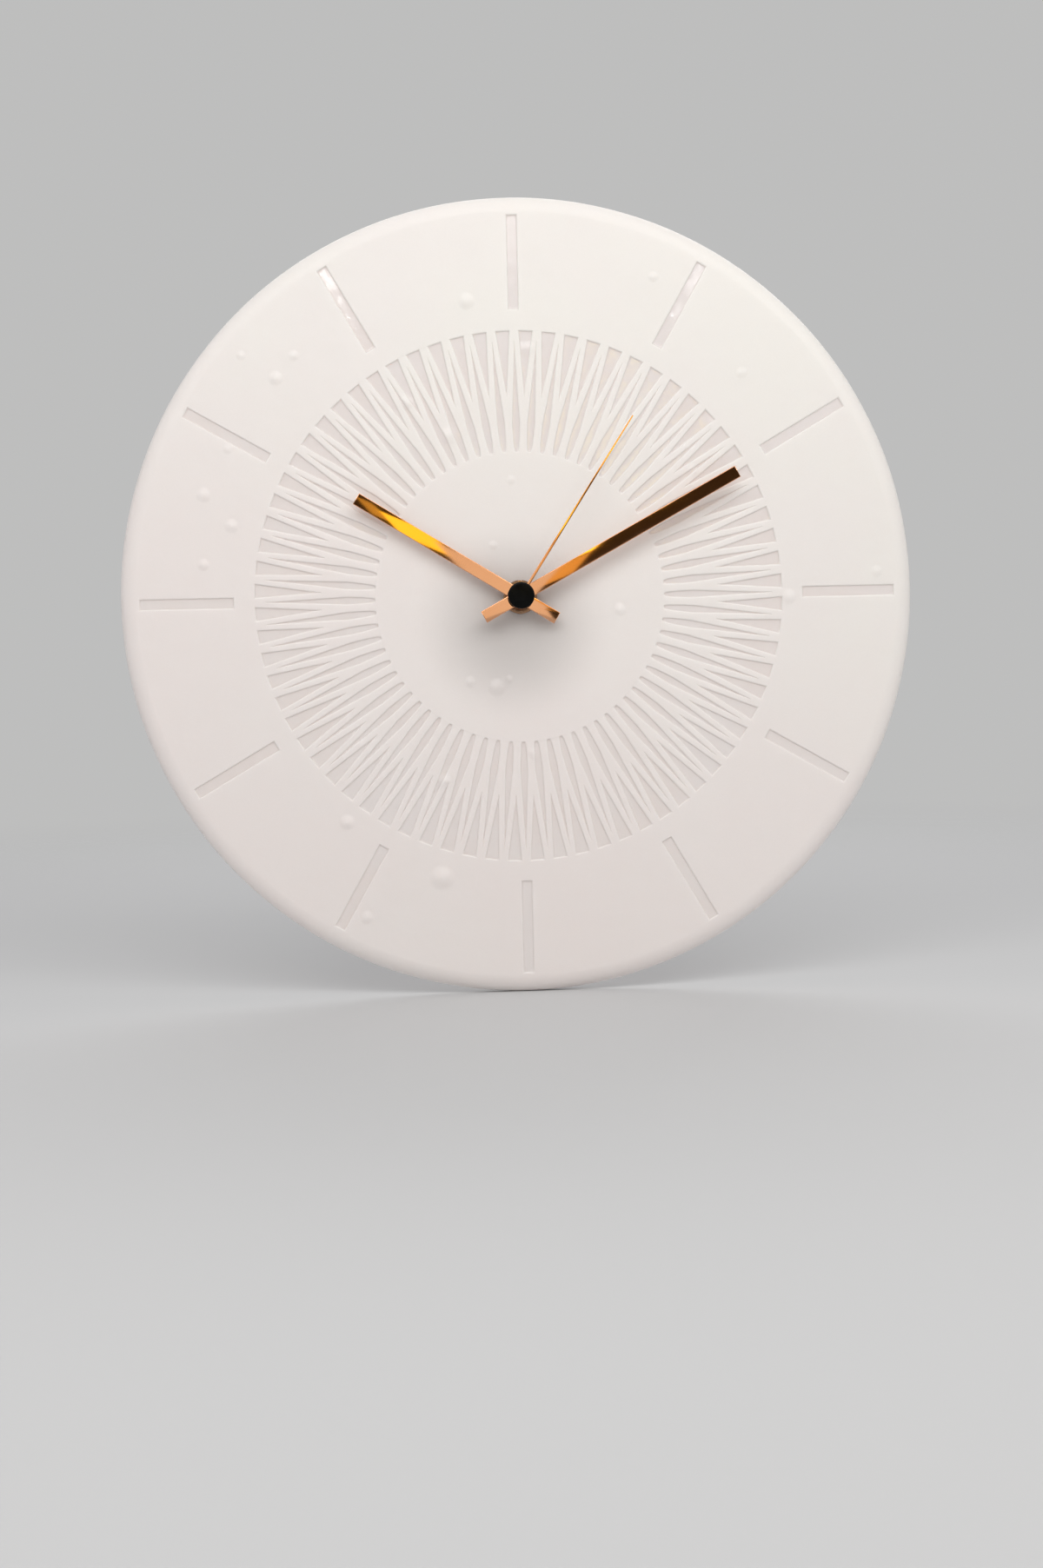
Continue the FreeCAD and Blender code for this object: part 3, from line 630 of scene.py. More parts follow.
def feed(tree, value, socket):
    """Gives a socket a number, a vector or a colour, or links another socket to it."""
    if isinstance(value, bpy.types.NodeSocket):
        tree.links.new(value, socket)
    elif socket.type == "RGBA":
        socket.default_value = (*value, 1)
    else:
        socket.default_value = value


def feed_all(tree, node, **values):
    """Feeds the named sockets of a node."""
    for name, value in values.items():
        feed(tree, value, node.inputs[name.replace("_", " ")])


def add(tree, kind, **settings):
    """A node with its plain settings."""
    node = tree.nodes.new("ShaderNode" + kind)
    for name, value in settings.items():
        setattr(node, name, value)
    return node


class Finish:
    """A material being made. Even values go on the shader's own sockets; effects are linked in."""

    def __init__(self, name, **even):
        self.material = bpy.data.materials.new(name)
        self.material.use_nodes = True
        self.tree = self.material.node_tree
        self.shader = self.tree.nodes["Principled BSDF"]
        feed_all(self.tree, self.shader, **even)

    def link(self, source, target):
        self.tree.links.new(source, target)

    def effect(self, group, **values):
        """The outputs of a shared effect with this material's own values."""
        node = add(self.tree, "Group", node_tree=group)
        feed_all(self.tree, node, **values)
        return node.outputs

    def colour(self, tone):
        self.link(tone, self.shader.inputs["Base Color"])

    def roughness(self, size, clean, smudged):
        """Roughness that wanders between clean and smudged."""
        rough = self.effect(smudges, Size=size, Clean=clean, Smudged=smudged)
        self.link(rough["Roughness"], self.shader.inputs["Roughness"])

    def bump(self, height, distance, under=None):
        """Fine relief, laid over another relief where there is one."""
        node = add(self.tree, "Bump")
        node.inputs["Distance"].default_value = distance
        self.link(height, node.inputs["Height"])
        if under is not None:
            self.link(under, node.inputs["Normal"])
        self.link(node.outputs["Normal"], self.shader.inputs["Normal"])
        return node.outputs["Normal"]


def start_effect(name, inputs, outputs):
    """An empty effect group, with the sockets that it is given values by and those that it puts out.
    Each socket is a name with its kind."""
    group = bpy.data.node_groups.new(name, "ShaderNodeTree")
    for way, sockets in (("INPUT", inputs), ("OUTPUT", outputs)):
        for socket, kind in sockets.items():
            group.interface.new_socket(socket, in_out=way, socket_type="NodeSocket" + kind)
    return group, group.nodes.new("NodeGroupInput").outputs, group.nodes.new("NodeGroupOutput").inputs


def maths(tree, operation, first, second):
    """A maths node on two values, each a socket or a number."""
    node = add(tree, "Math", operation=operation)
    feed(tree, first, node.inputs[0])
    feed(tree, second, node.inputs[1])
    return node.outputs[0]


def own_space(tree):
    """Places in the piece's own space."""
    return add(tree, "TexCoord").outputs["Object"]


def noise_at(tree, scale, detail=3.0, roughness=0.5, place=None):
    """Noise over the piece's own space, or over another place that is given."""
    node = add(tree, "TexNoise")
    feed_all(tree, node, Vector=place or own_space(tree), Scale=scale, Detail=detail, Roughness=roughness)
    return node.outputs["Fac"]


def spread(tree, value, low, high, to_low=0.0, to_high=1.0):
    """A value spread from one range to another, each end a socket or a number."""
    node = add(tree, "MapRange", interpolation_type="SMOOTHSTEP")
    feed_all(tree, node, Value=value, From_Min=low, From_Max=high, To_Min=to_low, To_Max=to_high)
    return node.outputs["Result"]


def blend_colours(tree, share, first, second):
    """Two colours mixed by a share; each a socket or a colour. The node's colour sockets have numbers,
    because their names stand on it more than once."""
    node = add(tree, "Mix", data_type="RGBA")
    for number, value in ((0, share), (6, first), (7, second)):
        feed(tree, value, node.inputs[number])
    return node.outputs[2]


def tinted(tree, colour, shade):
    """A colour made lighter or darker by a value near one."""
    node = add(tree, "VectorMath", operation="SCALE")
    tree.links.new(colour, node.inputs[0])
    tree.links.new(shade, node.inputs["Scale"])
    return node.outputs[0]


def shade_about_one(tree, value, amount):
    """A shade that swings about one as a value swings about a half."""
    swing = maths(tree, "MULTIPLY", maths(tree, "SUBTRACT", value, 0.5), amount)
    return maths(tree, "ADD", swing, 1.0)


def cloudy_tone_effect():
    """Two close colours that drift into each other in soft clouds."""
    group, given, result = start_effect(
        "cloudy tone", {"Size": "Float", "First": "Color", "Second": "Color"}, {"Color": "Color"})
    share = spread(group, noise_at(group, given["Size"], 4.0, 0.55), 0.34, 0.66)
    feed(group, blend_colours(group, share, given["First"], given["Second"]), result["Color"])
    return group


def fine_grain_effect():
    """An even fine grain: its height, and a shade close to one."""
    group, given, result = start_effect(
        "fine grain", {"Size": "Float", "Shade": "Float"}, {"Height": "Float", "Tone": "Float"})
    grain = noise_at(group, given["Size"], 2.0, 0.7)
    feed(group, grain, result["Height"])
    feed(group, shade_about_one(group, grain, given["Shade"]), result["Tone"])
    return group


def smudge_effect():
    """Roughness that wanders between two values, as handling leaves it."""
    group, given, result = start_effect(
        "smudges", {"Size": "Float", "Clean": "Float", "Smudged": "Float"}, {"Roughness": "Float"})
    patches = noise_at(group, given["Size"], 5.0, 0.6)
    feed(group, spread(group, patches, 0.35, 0.7, given["Clean"], given["Smudged"]), result["Roughness"])
    return group


def edge_wear_and_highlight_effect():
    """A mask that is one along outer edges, broken up by noise: it carries worn edges, and on the copper also
    a painted highlight along the edges.
    """
    group, given, result = start_effect(
        "worn edge", {"Radius": "Float", "Breaks": "Float"}, {"Mask": "Float"})
    bevel = add(group, "Bevel", samples=4)
    feed(group, given["Radius"], bevel.inputs["Radius"])
    turn = add(group, "VectorMath", operation="DOT_PRODUCT")
    feed(group, bevel.outputs["Normal"], turn.inputs[0])
    feed(group, add(group, "NewGeometry").outputs["Normal"], turn.inputs[1])
    edge = spread(group, turn.outputs["Value"], 0.97, 0.8)
    breaks = spread(group, noise_at(group, given["Breaks"], 3.0, 0.6), 0.35, 0.6)
    feed(group, maths(group, "MULTIPLY", edge, breaks), result["Mask"])
    return group


def brushed_effect():
    """Fine lines drawn out one way: their height, and a shade close to one."""
    group, given, result = start_effect(
        "brushed lines", {"Stretch": "Vector", "Shade": "Float"}, {"Height": "Float", "Tone": "Float"})
    drawn_out = add(group, "Mapping")
    feed_all(group, drawn_out, Vector=own_space(group), Scale=given["Stretch"])
    lines = noise_at(group, 1.0, place=drawn_out.outputs["Vector"])
    feed(group, lines, result["Height"])
    feed(group, shade_about_one(group, lines, given["Shade"]), result["Tone"])
    return group


def dust_effect():
    """A mask of light dust on surfaces that look up."""
    group, given, result = start_effect(
        "settled dust", {"Amount": "Float", "Size": "Float"}, {"Mask": "Float"})
    normal = add(group, "SeparateXYZ")
    feed(group, add(group, "NewGeometry").outputs["Normal"], normal.inputs[0])
    upward = spread(group, normal.outputs["Z"], 0.2, 0.95)
    specks = spread(group, noise_at(group, given["Size"], 4.0, 0.65), 0.35, 0.75)
    mask = maths(group, "MULTIPLY", maths(group, "MULTIPLY", upward, specks), given["Amount"])
    feed(group, mask, result["Mask"])
    return group


cloudy_tone = cloudy_tone_effect()
fine_grain = fine_grain_effect()
smudges = smudge_effect()
edge_wear_and_highlight = edge_wear_and_highlight_effect()
brushed_lines = brushed_effect()
settled_dust = dust_effect()


# Finishes

dust_colour = (0.55, 0.53, 0.50)
glass_scatter = (1.0, 0.97, 0.95)
# Painted shadow round the hub: its middle, the reaches where it starts to fade and where it ends, and its
# shade
painted_hub_shadow_place = (-0.003, -0.026, -0.010)
painted_hub_shadow_full = 0.008
painted_hub_shadow_end = 0.040
painted_hub_shadow_shade = 0.74


def face_tone_with_painted_falloff(made):
    """The face's tone: rose low on the left, which goes over into cream high on the right. The glass drifts
    in clouds of its own, and the lighter cream above and darker rose below are partly painted shade, the
    light's fall-off from the upper right.
    """
    tree = made.tree
    lean = 0.5
    waver = 0.12
    cream_full = 0.16
    # The slope runs towards the upper right, where the light falls: the drift is partly painted shade
    place = add(tree, "SeparateXYZ")
    made.link(own_space(tree), place.inputs[0])
    slope = maths(tree, "ADD", maths(tree, "MULTIPLY", place.outputs["X"], lean), place.outputs["Z"])
    drift = maths(tree, "ADD", slope, maths(tree, "MULTIPLY", noise_at(tree, 16.0, 4.0), waver))
    rose = made.effect(cloudy_tone, Size=11.0, First=(0.862, 0.800, 0.780), Second=(0.864, 0.812, 0.790))
    cream = made.effect(cloudy_tone, Size=14.0, First=(0.870, 0.838, 0.800), Second=(0.868, 0.824, 0.798))
    return blend_colours(tree, spread(tree, drift, 0.0, cream_full), rose["Color"], cream["Color"])


def painted_hub_shadow(made):
    """Painted shadow: a soft grey round the hub, centred a little below it, standing in for the shade of the
    hands and of the dark movement behind the glass.
    """
    away = add(made.tree, "VectorMath", operation="DISTANCE")
    made.link(own_space(made.tree), away.inputs[0])
    away.inputs[1].default_value = painted_hub_shadow_place
    return spread(made.tree, away.outputs["Value"], painted_hub_shadow_full, painted_hub_shadow_end, painted_hub_shadow_shade, 1.0)


def satin_glass():
    """Kiln-formed white glass: satin on the face, fire-polished in the floors of the pockets."""
    made = Finish("satin_white_glass", IOR=1.5, Subsurface_Weight=0.7, Subsurface_Scale=0.0022,
                  Subsurface_Radius=glass_scatter)
    tree = made.tree
    floor = spread(tree, add(tree, "Attribute", attribute_name="sunk").outputs["Fac"], 0.40, 0.90)
    floor_tone = made.effect(cloudy_tone, Size=26.0, First=(0.828, 0.776, 0.758),
                             Second=(0.828, 0.762, 0.736))
    grain = made.effect(fine_grain, Size=2200.0, Shade=0.05)
    colour = blend_colours(tree, floor, face_tone_with_painted_falloff(made), floor_tone["Color"])
    # The face colour is darkened round the hub by the painted hub shadow, and varied by the grain
    made.colour(tinted(tree, colour, maths(tree, "MULTIPLY", grain["Tone"], painted_hub_shadow(made))))
    face_rough = made.effect(smudges, Size=40.0, Clean=0.46, Smudged=0.56)
    floor_rough = made.effect(smudges, Size=90.0, Clean=0.03, Smudged=0.09)
    made.link(spread(tree, floor, 0.0, 1.0, face_rough["Roughness"], floor_rough["Roughness"]),
              made.shader.inputs["Roughness"])
    waves = made.bump(noise_at(tree, 170.0, 1.0), 0.00012)
    made.bump(spread(tree, grain["Height"], 0.2, 0.8), 0.000005, under=waves)
    return made.material


def shelf_glass():
    """The back of the glass, with the matt print of the kiln shelf."""
    made = Finish("kiln_shelf_glass", IOR=1.5, Subsurface_Weight=0.3, Subsurface_Scale=0.002,
                  Subsurface_Radius=glass_scatter)
    tone = made.effect(cloudy_tone, Size=9.0, First=(0.775, 0.76, 0.742), Second=(0.85, 0.834, 0.813))
    shelf_print = made.effect(fine_grain, Size=420.0, Shade=0.16)
    made.colour(tinted(made.tree, tone["Color"], shelf_print["Tone"]))
    made.roughness(35.0, 0.6, 0.78)
    fibres = made.effect(fine_grain, Size=1400.0, Shade=0.0)
    coarse = made.bump(shelf_print["Height"], 0.00012)
    made.bump(fibres["Height"], 0.00004, under=coarse)
    return made.material


def hand_copper():
    """Copper plate, machine polished, with a trace of the lapping lines."""
    made = Finish("polished_copper", Metallic=1.0)
    tone = made.effect(cloudy_tone, Size=45.0, First=(0.83, 0.43, 0.24), Second=(0.81, 0.41, 0.22))
    lines = made.effect(brushed_lines, Stretch=(260.0, 260.0, 4200.0), Shade=0.03)
    # The copper's edges are drawn lighter: rubbed copper, and a painted highlight along the rounded edges
    edge = made.effect(edge_wear_and_highlight, Radius=0.0002, Breaks=500.0)
    plate = tinted(made.tree, tone["Color"], lines["Tone"])
    made.colour(blend_colours(made.tree, edge["Mask"], plate, (0.93, 0.62, 0.45)))
    made.roughness(60.0, 0.034, 0.052)
    made.bump(lines["Height"], 0.00000012)
    return made.material


def cap_black():
    """Black lacquer on the cap, with a little dust."""
    made = Finish("black_lacquer", IOR=1.4, Specular_IOR_Level=0.08)
    tone = made.effect(cloudy_tone, Size=260.0, First=(0.003, 0.003, 0.003), Second=(0.005, 0.005, 0.005))
    dust = made.effect(settled_dust, Amount=0.05, Size=900.0)
    made.colour(blend_colours(made.tree, dust["Mask"], tone["Color"], dust_colour))
    made.roughness(300.0, 0.16, 0.26)
    grain = made.effect(fine_grain, Size=2600.0, Shade=0.0)
    made.bump(grain["Height"], 0.000006)
    return made.material


def metal(name, tones, rough, lines, shade, worn):
    """A worked metal: two drifting tones, tool lines, worn edges and smudges. Lines gives how the tool
    lines are drawn out, and rough the clean and the smudged roughness."""
    made = Finish(name, Metallic=1.0)
    tone = made.effect(cloudy_tone, Size=90.0, First=tones[0], Second=tones[1])
    drawn = made.effect(brushed_lines, Stretch=lines, Shade=shade)
    edge = made.effect(edge_wear_and_highlight, Radius=0.0003, Breaks=600.0)
    colour = tinted(made.tree, tone["Color"], drawn["Tone"])
    made.colour(blend_colours(made.tree, edge["Mask"], colour, worn))
    made.roughness(150.0, *rough)
    made.bump(drawn["Height"], 0.000004)
    return made.material


def moulded(name, tones, rough, worn, grain, dust=0.25):
    """Moulded plastic or rubber: fine skin, two drifting tones, scuffed edges and a little dust. Grain
    gives the size and the height of the skin, and rough the clean and the smudged roughness."""
    made = Finish(name, IOR=1.48)
    tone = made.effect(cloudy_tone, Size=70.0, First=tones[0], Second=tones[1])
    skin = made.effect(fine_grain, Size=grain[0], Shade=0.12)
    edge = made.effect(edge_wear_and_highlight, Radius=0.0004, Breaks=500.0)
    film = made.effect(settled_dust, Amount=dust, Size=500.0)
    colour = tinted(made.tree, tone["Color"], skin["Tone"])
    colour = blend_colours(made.tree, edge["Mask"], colour, worn)
    made.colour(blend_colours(made.tree, film["Mask"], colour, dust_colour))
    made.roughness(110.0, *rough)
    made.bump(skin["Height"], grain[1])
    return made.material


def wound_wire():
    """Enamelled wire laid turn by turn along the coil. Each turn runs from a light crown to a dark groove;
    the dark grooves are painted shade between the turns.
    """
    made = Finish("enamelled_wire", Metallic=0.8, Coat_Weight=0.4, Coat_Roughness=0.2)
    turn_bands_with_painted_shade = add(made.tree, "TexWave", wave_type="BANDS", bands_direction="X", wave_profile="SIN")
    feed_all(made.tree, turn_bands_with_painted_shade, Vector=own_space(made.tree), Scale=2600.0, Distortion=1.2, Detail=1.0)
    made.colour(blend_colours(made.tree, turn_bands_with_painted_shade.outputs["Fac"], (0.22, 0.07, 0.03), (0.66, 0.30, 0.13)))
    made.roughness(200.0, 0.28, 0.42)
    made.bump(turn_bands_with_painted_shade.outputs["Fac"], 0.00006)
    return made.material


def make_finishes():
    """The finish for every material slot of the record, and one of the nut's own."""
    return {
        "white_glass": satin_glass(),
        "copper": hand_copper(),
        "black_cap": cap_black(),
        "brass": metal("turned_brass", ((0.50, 0.34, 0.15), (0.42, 0.28, 0.12)), (0.2, 0.34),
                       lines=(900.0, 2600.0, 900.0), shade=0.18, worn=(0.78, 0.60, 0.34)),
        # The nut's copper is much darker than the hands' copper: a copper tone, darkened as painted shade for
        # the nut under the cap
        "nut_copper_with_painted_shade": metal("coppered_nut_with_painted_shade", ((0.34, 0.20, 0.12), (0.28, 0.16, 0.09)), (0.16, 0.24),
                            lines=(900.0, 2600.0, 900.0), shade=0.10, worn=(0.44, 0.28, 0.18)),
        "rubber": moulded("matt_rubber", ((0.020, 0.020, 0.020), (0.032, 0.031, 0.030)), (0.75, 0.9),
                          worn=(0.05, 0.05, 0.05), grain=(900.0, 0.00004), dust=0.4),
        "steel": metal("zinc_plated_steel", ((0.56, 0.58, 0.60), (0.66, 0.66, 0.62)), (0.26, 0.42),
                       lines=(3200.0, 3200.0, 220.0), shade=0.14, worn=(0.80, 0.81, 0.82)),
        "case_black": moulded("case_black_plastic", ((0.020, 0.020, 0.021), (0.028, 0.028, 0.029)),
                              (0.42, 0.58), worn=(0.055, 0.055, 0.056), grain=(1300.0, 0.00003)),
        "wheel_white": moulded("ivory_wheel_plastic", ((0.84, 0.82, 0.76), (0.88, 0.865, 0.82)),
                               (0.34, 0.46), worn=(0.92, 0.91, 0.88), grain=(2400.0, 0.000008), dust=0.1),
        "wheel_red": moulded("red_knob_plastic", ((0.50, 0.045, 0.035), (0.58, 0.06, 0.05)), (0.32, 0.46),
                             worn=(0.72, 0.16, 0.13), grain=(1600.0, 0.000015), dust=0.2),
        "magnet": moulded("sintered_magnet", ((0.10, 0.10, 0.11), (0.14, 0.14, 0.15)), (0.4, 0.6),
                          worn=(0.24, 0.24, 0.25), grain=(3000.0, 0.00002), dust=0.0),
        "silicon_steel": metal("stamped_silicon_steel", ((0.42, 0.43, 0.46), (0.50, 0.50, 0.50)), (0.3, 0.45),
                               lines=(2600.0, 900.0, 500.0), shade=0.12, worn=(0.62, 0.62, 0.64)),
        "bobbin": moulded("natural_bobbin_plastic", ((0.76, 0.73, 0.64), (0.81, 0.79, 0.71)), (0.4, 0.52),
                          worn=(0.86, 0.85, 0.80), grain=(2400.0, 0.00001), dust=0.1),
        "wire": wound_wire(),
        "board": moulded("phenolic_board", ((0.42, 0.27, 0.10), (0.50, 0.34, 0.15)), (0.45, 0.6),
                         worn=(0.60, 0.46, 0.26), grain=(700.0, 0.00002), dust=0.1),
        "chip": moulded("black_resin", ((0.012, 0.012, 0.012), (0.022, 0.022, 0.022)), (0.2, 0.32),
                        worn=(0.04, 0.04, 0.04), grain=(600.0, 0.00003), dust=0.1),
        "can": metal("plated_can", ((0.70, 0.70, 0.72), (0.78, 0.78, 0.78)), (0.16, 0.28),
                     lines=(400.0, 2200.0, 2200.0), shade=0.08, worn=(0.88, 0.88, 0.88)),
        "contact": metal("nickel_plated_bronze", ((0.66, 0.62, 0.52), (0.72, 0.69, 0.60)), (0.18, 0.32),
                         lines=(500.0, 2600.0, 500.0), shade=0.10, worn=(0.84, 0.80, 0.70)),
        "battery_shell": moulded("blue_battery_sleeve", ((0.055, 0.15, 0.33), (0.075, 0.19, 0.40)),
                                 (0.22, 0.34), worn=(0.22, 0.34, 0.52), grain=(900.0, 0.000006), dust=0.15),
    }


# Movement and fastenings

# Nodes that keep their shape and get softer edges: node, body, slot, finish and width of the edge
soft_edged = (
    ("round_nut", "clock", "brass", "nut_copper_with_painted_shade", 0.12 * mm),
    ("dial_washer", "clock", "brass", "brass", 0.10 * mm),
    ("rubber_pad", "clock", "rubber", "rubber", 0.2 * mm),
    ("hanger_plate", "clock", "steel", "steel", 0.14 * mm),
    ("front_case", "clock", "case_black", "case_black", 0.35 * mm),
    ("back_cover", "clock", "case_black", "case_black", 0.1 * mm),
    ("setting_knob", "knob", "wheel_red", "wheel_red", 0.12 * mm))


def node_mesh(node):
    """A copy of a node's own mesh, its flat faces whole again."""
    work = bmesh.new()
    work.from_mesh(frame["nodes"][node].data)
    bmesh.ops.remove_doubles(work, verts=work.verts, dist=Shell.weld)
    bmesh.ops.dissolve_limit(work, angle_limit=math.radians(1), verts=work.verts, edges=work.edges)
    data = bpy.data.meshes.new(node + "_dressed")
    work.to_mesh(data)
    work.free()
    return data


def softened(data, width):
    """A mesh with its sharp edges rounded off."""
    sharp_angle = math.radians(35)
    work = bmesh.new()
    work.from_mesh(data)
    sharp = [edge for edge in work.edges if edge.is_manifold and edge.calc_face_angle() > sharp_angle]
    bmesh.ops.bevel(work, geom=sharp, offset=width, offset_type="OFFSET", segments=2, profile=0.5,
                    affect="EDGES", clamp_overlap=True)
    work.to_mesh(data)
    work.free()
    finish_mesh(data)
    return data


def carved(data, cutter):
    """A mesh with the cutter's volume taken out."""
    body = put("carving_body", data)
    tool = put("carving_tool", cutter)
    modifier = body.modifiers.new("Carve", "BOOLEAN")
    modifier.operation = "DIFFERENCE"
    modifier.solver = "EXACT"
    modifier.use_self = True
    modifier.object = tool
    result = shape_of(body)
    result.name = data.name
    for item in (body, tool):
        bpy.data.objects.remove(item)
    return result


def prism(shell, outline, near, far):
    """A closed upright block over an outline on the dial, between two depths."""
    low = [spot(place.x, near, place.y) for place in outline]
    high = [spot(place.x, far, place.y) for place in outline]
    shell.face(low)
    shell.face(high)
    shell.band(low, high)


def arrow_outlines():
    """A turning arrow round the knob, with a head past each end of its arc."""
    inner = 8.1 * mm
    outer = 9.4 * mm
    head = 1.5 * mm
    start = 115
    end = 245
    head_past = 7
    steps = 24
    low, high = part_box("setting_knob")
    knob = Vector(((low.x + high.x) / 2, (low.z + high.z) / 2))
    arc = arc_points(outer, start, end, steps) + arc_points(inner, start, end, steps)[::-1]
    outlines = [[knob + place for place in arc]]
    for angle, way in ((start - head_past, -1), (end + head_past, 1)):
        out = Vector((math.cos(math.radians(angle)), math.sin(math.radians(angle))))
        ahead = Vector((-out.y, out.x)) * way
        base = knob + out * (inner + outer) / 2
        outlines.append([base + out * head, base - out * head, base + ahead * 2 * head])
    return outlines


def sign_outlines():
    """A plus and a minus above the two ends of the battery."""
    up = -9.4 * mm
    across = 20.5 * mm
    long = 1.9 * mm
    thick = 0.42 * mm
    corner = [Vector((-long, -thick)), Vector((-thick, -thick)), Vector((-thick, -long))]
    plus = []
    for quarter in range(4):
        plus += corner
        corner = [Vector((-place.y, place.x)) for place in corner]
    minus = box_outline((-long, -thick), (long, thick))
    return [[Vector((middle, up)) + place for place in sign]
            for middle, sign in ((across, plus), (-across, minus))]


def frame_outlines():
    """Fine lines that frame the cover at its sides and top."""
    outer = 25.6 * mm
    inner = 25.0 * mm
    foot = -10.4 * mm
    return [box_outline((-outer, foot), (-inner, outer)), box_outline((inner, foot), (outer, outer)),
            box_outline((-outer, inner), (outer, outer))]


def pin_outlines():
    """Round marks of the mould's pins."""
    pin_r = 1.6 * mm
    steps = 24
    out = 22.0 * mm
    foot = -5.0 * mm
    return [[Vector(middle) + place for place in ring_of(pin_r, steps)]
            for middle in ((-out, foot), (-out, out), (0.0, out), (out, out))]


def cover_marks():
    """Everything that is sunk in the cover's back, as one cutter."""
    sink = 0.45 * mm
    shell = Shell()
    for outline in arrow_outlines() + sign_outlines() + frame_outlines() + pin_outlines():
        prism(shell, outline, -sink, sink)
    data = shell.mesh("cover_marks")
    finish_mesh(data)
    return data


def battery_pieces(finishes):
    """The battery: a steel can with crimped ends, and a plain sleeve shrunk round it. A line's rows give
    a radius and a length along the cell, each from one of its main sizes and so many millimetres on."""
    low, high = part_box("battery")
    centre = (low + high) / 2
    sleeve_thick = 0.18 * mm
    nub_r = 2.75 * mm
    nub_long = 1.2 * mm
    groove_in = 2.2 * mm
    wrap_r = (high.z - low.z) / 2
    can_r = wrap_r - sleeve_thick
    end = high.x - low.x
    rim = end - nub_long
    groove = rim - groove_in
    can = ((0, 0, 0, 0.25), (can_r, -2.2, 0, 0.25), (can_r, -1.9, 0, 0), (can_r, -0.9, 0, 0),
           (can_r, -0.3, 0, 0.15), (can_r, 0, 0, 0.7), (can_r, 0, groove, -0.6), (can_r, -0.25, groove, 0),
           (can_r, 0, groove, 0.6), (can_r, 0, rim, -0.9), (can_r, -0.35, rim, -0.25), (can_r, -1.1, rim, 0),
           (can_r, -1.6, rim, -0.35), (nub_r, 0.9, rim, -0.35), (nub_r, 0.25, rim, -0.2),
           (nub_r, 0, rim, 0.2), (nub_r, -0.1, end, -0.35), (nub_r, -0.45, end, 0), (0, 0, end, 0))
    sleeve = ((can_r, -0.8, 0, 0.15), (can_r, -0.25, 0, 0), (wrap_r, -0.1, 0, 0.3), (wrap_r, 0, 0, 0.9),
              (wrap_r, 0, groove, -0.9), (wrap_r, -0.22, groove, 0), (wrap_r, 0, groove, 0.9),
              (wrap_r, 0, rim, -0.8), (wrap_r, -0.12, rim, -0.35), (can_r, -0.25, rim, -0.02),
              (can_r, -0.8, rim, -0.2), (can_r, 0, rim, -0.8), (can_r, 0, 0, 0.8))
    lie = Matrix.Translation((low.x, centre.y, centre.z)) @ Matrix.Rotation(math.pi / 2, 4, "Z")
    for name, rows, slot in (("battery_can", can, "can"), ("battery_sleeve", sleeve, "battery_shell")):
        line = [(radius + more * mm, length + further * mm) for radius, more, length, further in rows]
        data = turned(name, line, turned_steps)
        data.transform(lie)
        place_piece(name, data, "battery", [finishes[slot]], ("battery",))


def dress_clock(finishes):
    """Every visible piece, and the finish of every node that keeps its own shape."""
    for part in frame["record"]["subparts"]:
        for held in frame["nodes"][part["node"]].material_slots:
            held.material = finishes[part["material_slot"]]
    glass = [finishes["white_glass"], shelf_glass()]
    place_piece("glass_disc_dressed", disc_mesh(), "clock", glass, ("glass_disc",))
    hang_hands(finishes["copper"])
    fit_cap(finishes["black_cap"])
    for node, body, slot, finish, width in soft_edged:
        data = node_mesh(node)
        if node == "back_cover":
            data = carved(data, cover_marks())
        place_piece(node + "_dressed", softened(data, width), body, [finishes[finish]], (node,))
    battery_pieces(finishes)


# Stage

def lay_floor():
    """A plain pale floor that fades into the background, clear from below."""
    shell = Shell()
    corners = box_outline((-floor_reach, -floor_reach), (floor_reach, floor_reach))
    shell.face([Vector((corner.x, corner.y, disc_low.z)) for corner in corners])
    data = shell.mesh("floor")
    floor = put("floor", data)
    made = Finish("plain_floor", Base_Color=floor_grey, Roughness=0.9, Specular_IOR_Level=0.2)
    tree = made.tree
    length = add(tree, "VectorMath", operation="LENGTH")
    made.link(own_space(tree), length.inputs[0])
    faded = spread(tree, length.outputs["Value"], floor_fade_start, floor_fade_end)
    below = add(tree, "NewGeometry").outputs["Backfacing"]
    mixed = add(tree, "MixShader")
    made.link(maths(tree, "MAXIMUM", faded, below), mixed.inputs[0])
    made.link(made.shader.outputs[0], mixed.inputs[1])
    made.link(add(tree, "BsdfTransparent").outputs[0], mixed.inputs[2])
    made.link(mixed.outputs[0], tree.nodes["Material Output"].inputs["Surface"])
    data.materials.append(made.material)


def aim(item, place, target):
    """Puts an item at a place, looking at a target."""
    way = (Vector(target) - Vector(place)).to_track_quat("-Z", "Y")
    item.matrix_world = Matrix.Translation(place) @ way.to_matrix().to_4x4()


def hang_lamp(name, place, target, wide, tall, power, colour):
    """A rectangular soft lamp."""
    lamp = bpy.data.lights.new(name, "AREA")
    lamp.shape = "RECTANGLE"
    lamp.size = wide
    lamp.size_y = tall
    lamp.energy = power
    lamp.color = colour
    aim(put(name, lamp), place, target)


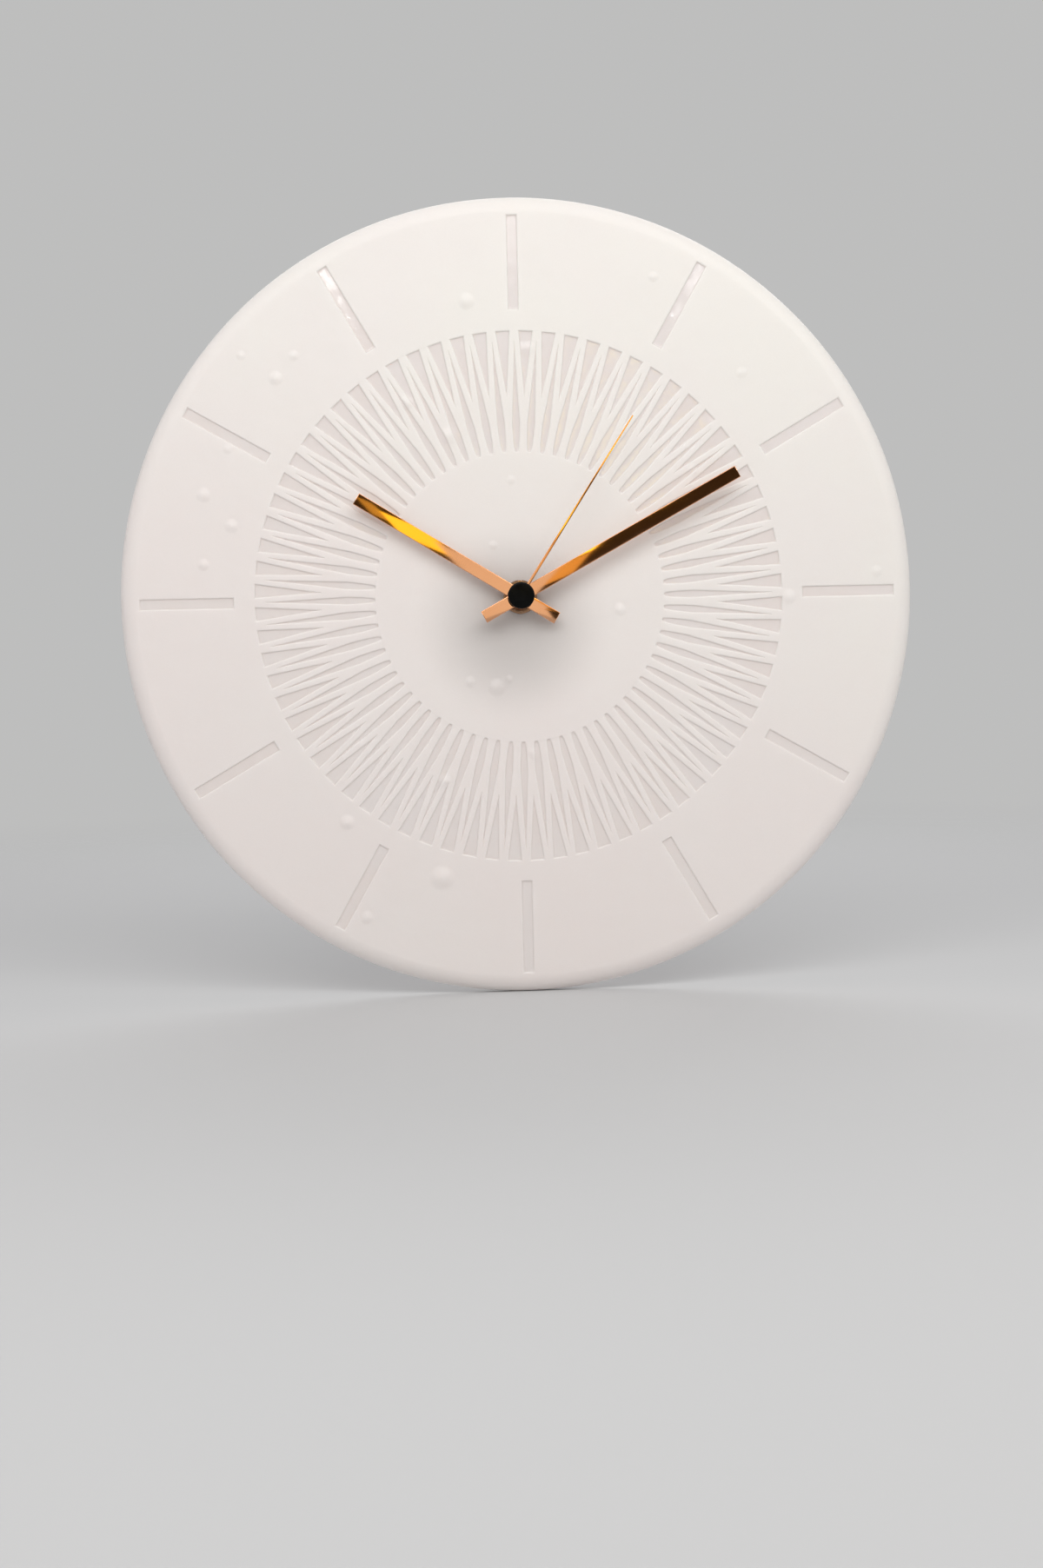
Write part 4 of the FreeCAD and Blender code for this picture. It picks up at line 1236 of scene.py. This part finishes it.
def hang_dark_card():
    """A dark card behind the camera that only the copper and the glass mirror."""
    shell = Shell()
    shell.face([Vector((across, card_plane, up)) for across, up in card_corners])
    data = shell.mesh("dark_card")
    card = put("dark_card", data)
    made = Finish("dark_card_felt", Base_Color=card_brown, Roughness=1.0, Specular_IOR_Level=0.0)
    data.materials.append(made.material)
    card.visible_camera = False
    card.visible_diffuse = False
    card.visible_shadow = False
    card.visible_transmission = False


def light_room():
    """Low even fill from the world, which shows the backdrop's grey where it is seen or mirrored."""
    world = bpy.data.worlds.new("studio")
    bpy.context.scene.world = world
    world.use_nodes = True
    tree = world.node_tree
    fill = tree.nodes["Background"]
    feed_all(tree, fill, Color=fill_grey)
    seen = add(tree, "Background")
    feed_all(tree, seen, Color=backdrop_grey)
    path = add(tree, "LightPath").outputs
    shown = maths(tree, "MAXIMUM", path["Is Camera Ray"], path["Is Glossy Ray"])
    shown = maths(tree, "MAXIMUM", shown, path["Is Transmission Ray"])
    mixed = add(tree, "MixShader")
    for value, socket in zip((shown, fill.outputs[0], seen.outputs[0]), mixed.inputs):
        feed(tree, value, socket)
    tree.links.new(mixed.outputs[0], tree.nodes["World Output"].inputs["Surface"])


def light_stage():
    """Two large soft lamps, the windows and the card that the copper mirrors, and the room's fill."""
    for lamp in soft_lamps:
        hang_lamp(*lamp)
    for name, across, up, *rest in windows:
        hang_lamp(name, (across, window_plane, up), (across, 0, up), *rest)
    hang_dark_card()
    light_room()


def set_camera():
    """The camera at the photograph's viewing angle."""
    lens = bpy.data.cameras.new("camera")
    lens.sensor_fit = "AUTO"
    lens.sensor_width = camera_sensor
    lens.lens = camera_lens
    lens.clip_start = 0.01
    camera = put("camera", lens)
    camera.matrix_world = (Matrix.Translation(camera_place) @ Matrix.Rotation(-camera_pan, 4, "Z")
                           @ Matrix.Rotation(math.pi / 2 + camera_tilt, 4, "X")
                           @ Matrix.Rotation(camera_roll, 4, "Z"))
    bpy.context.scene.camera = camera


set_camera()
dress_clock(make_finishes())
lay_floor()
light_stage()
bpy.context.scene.view_settings.view_transform = "Standard"
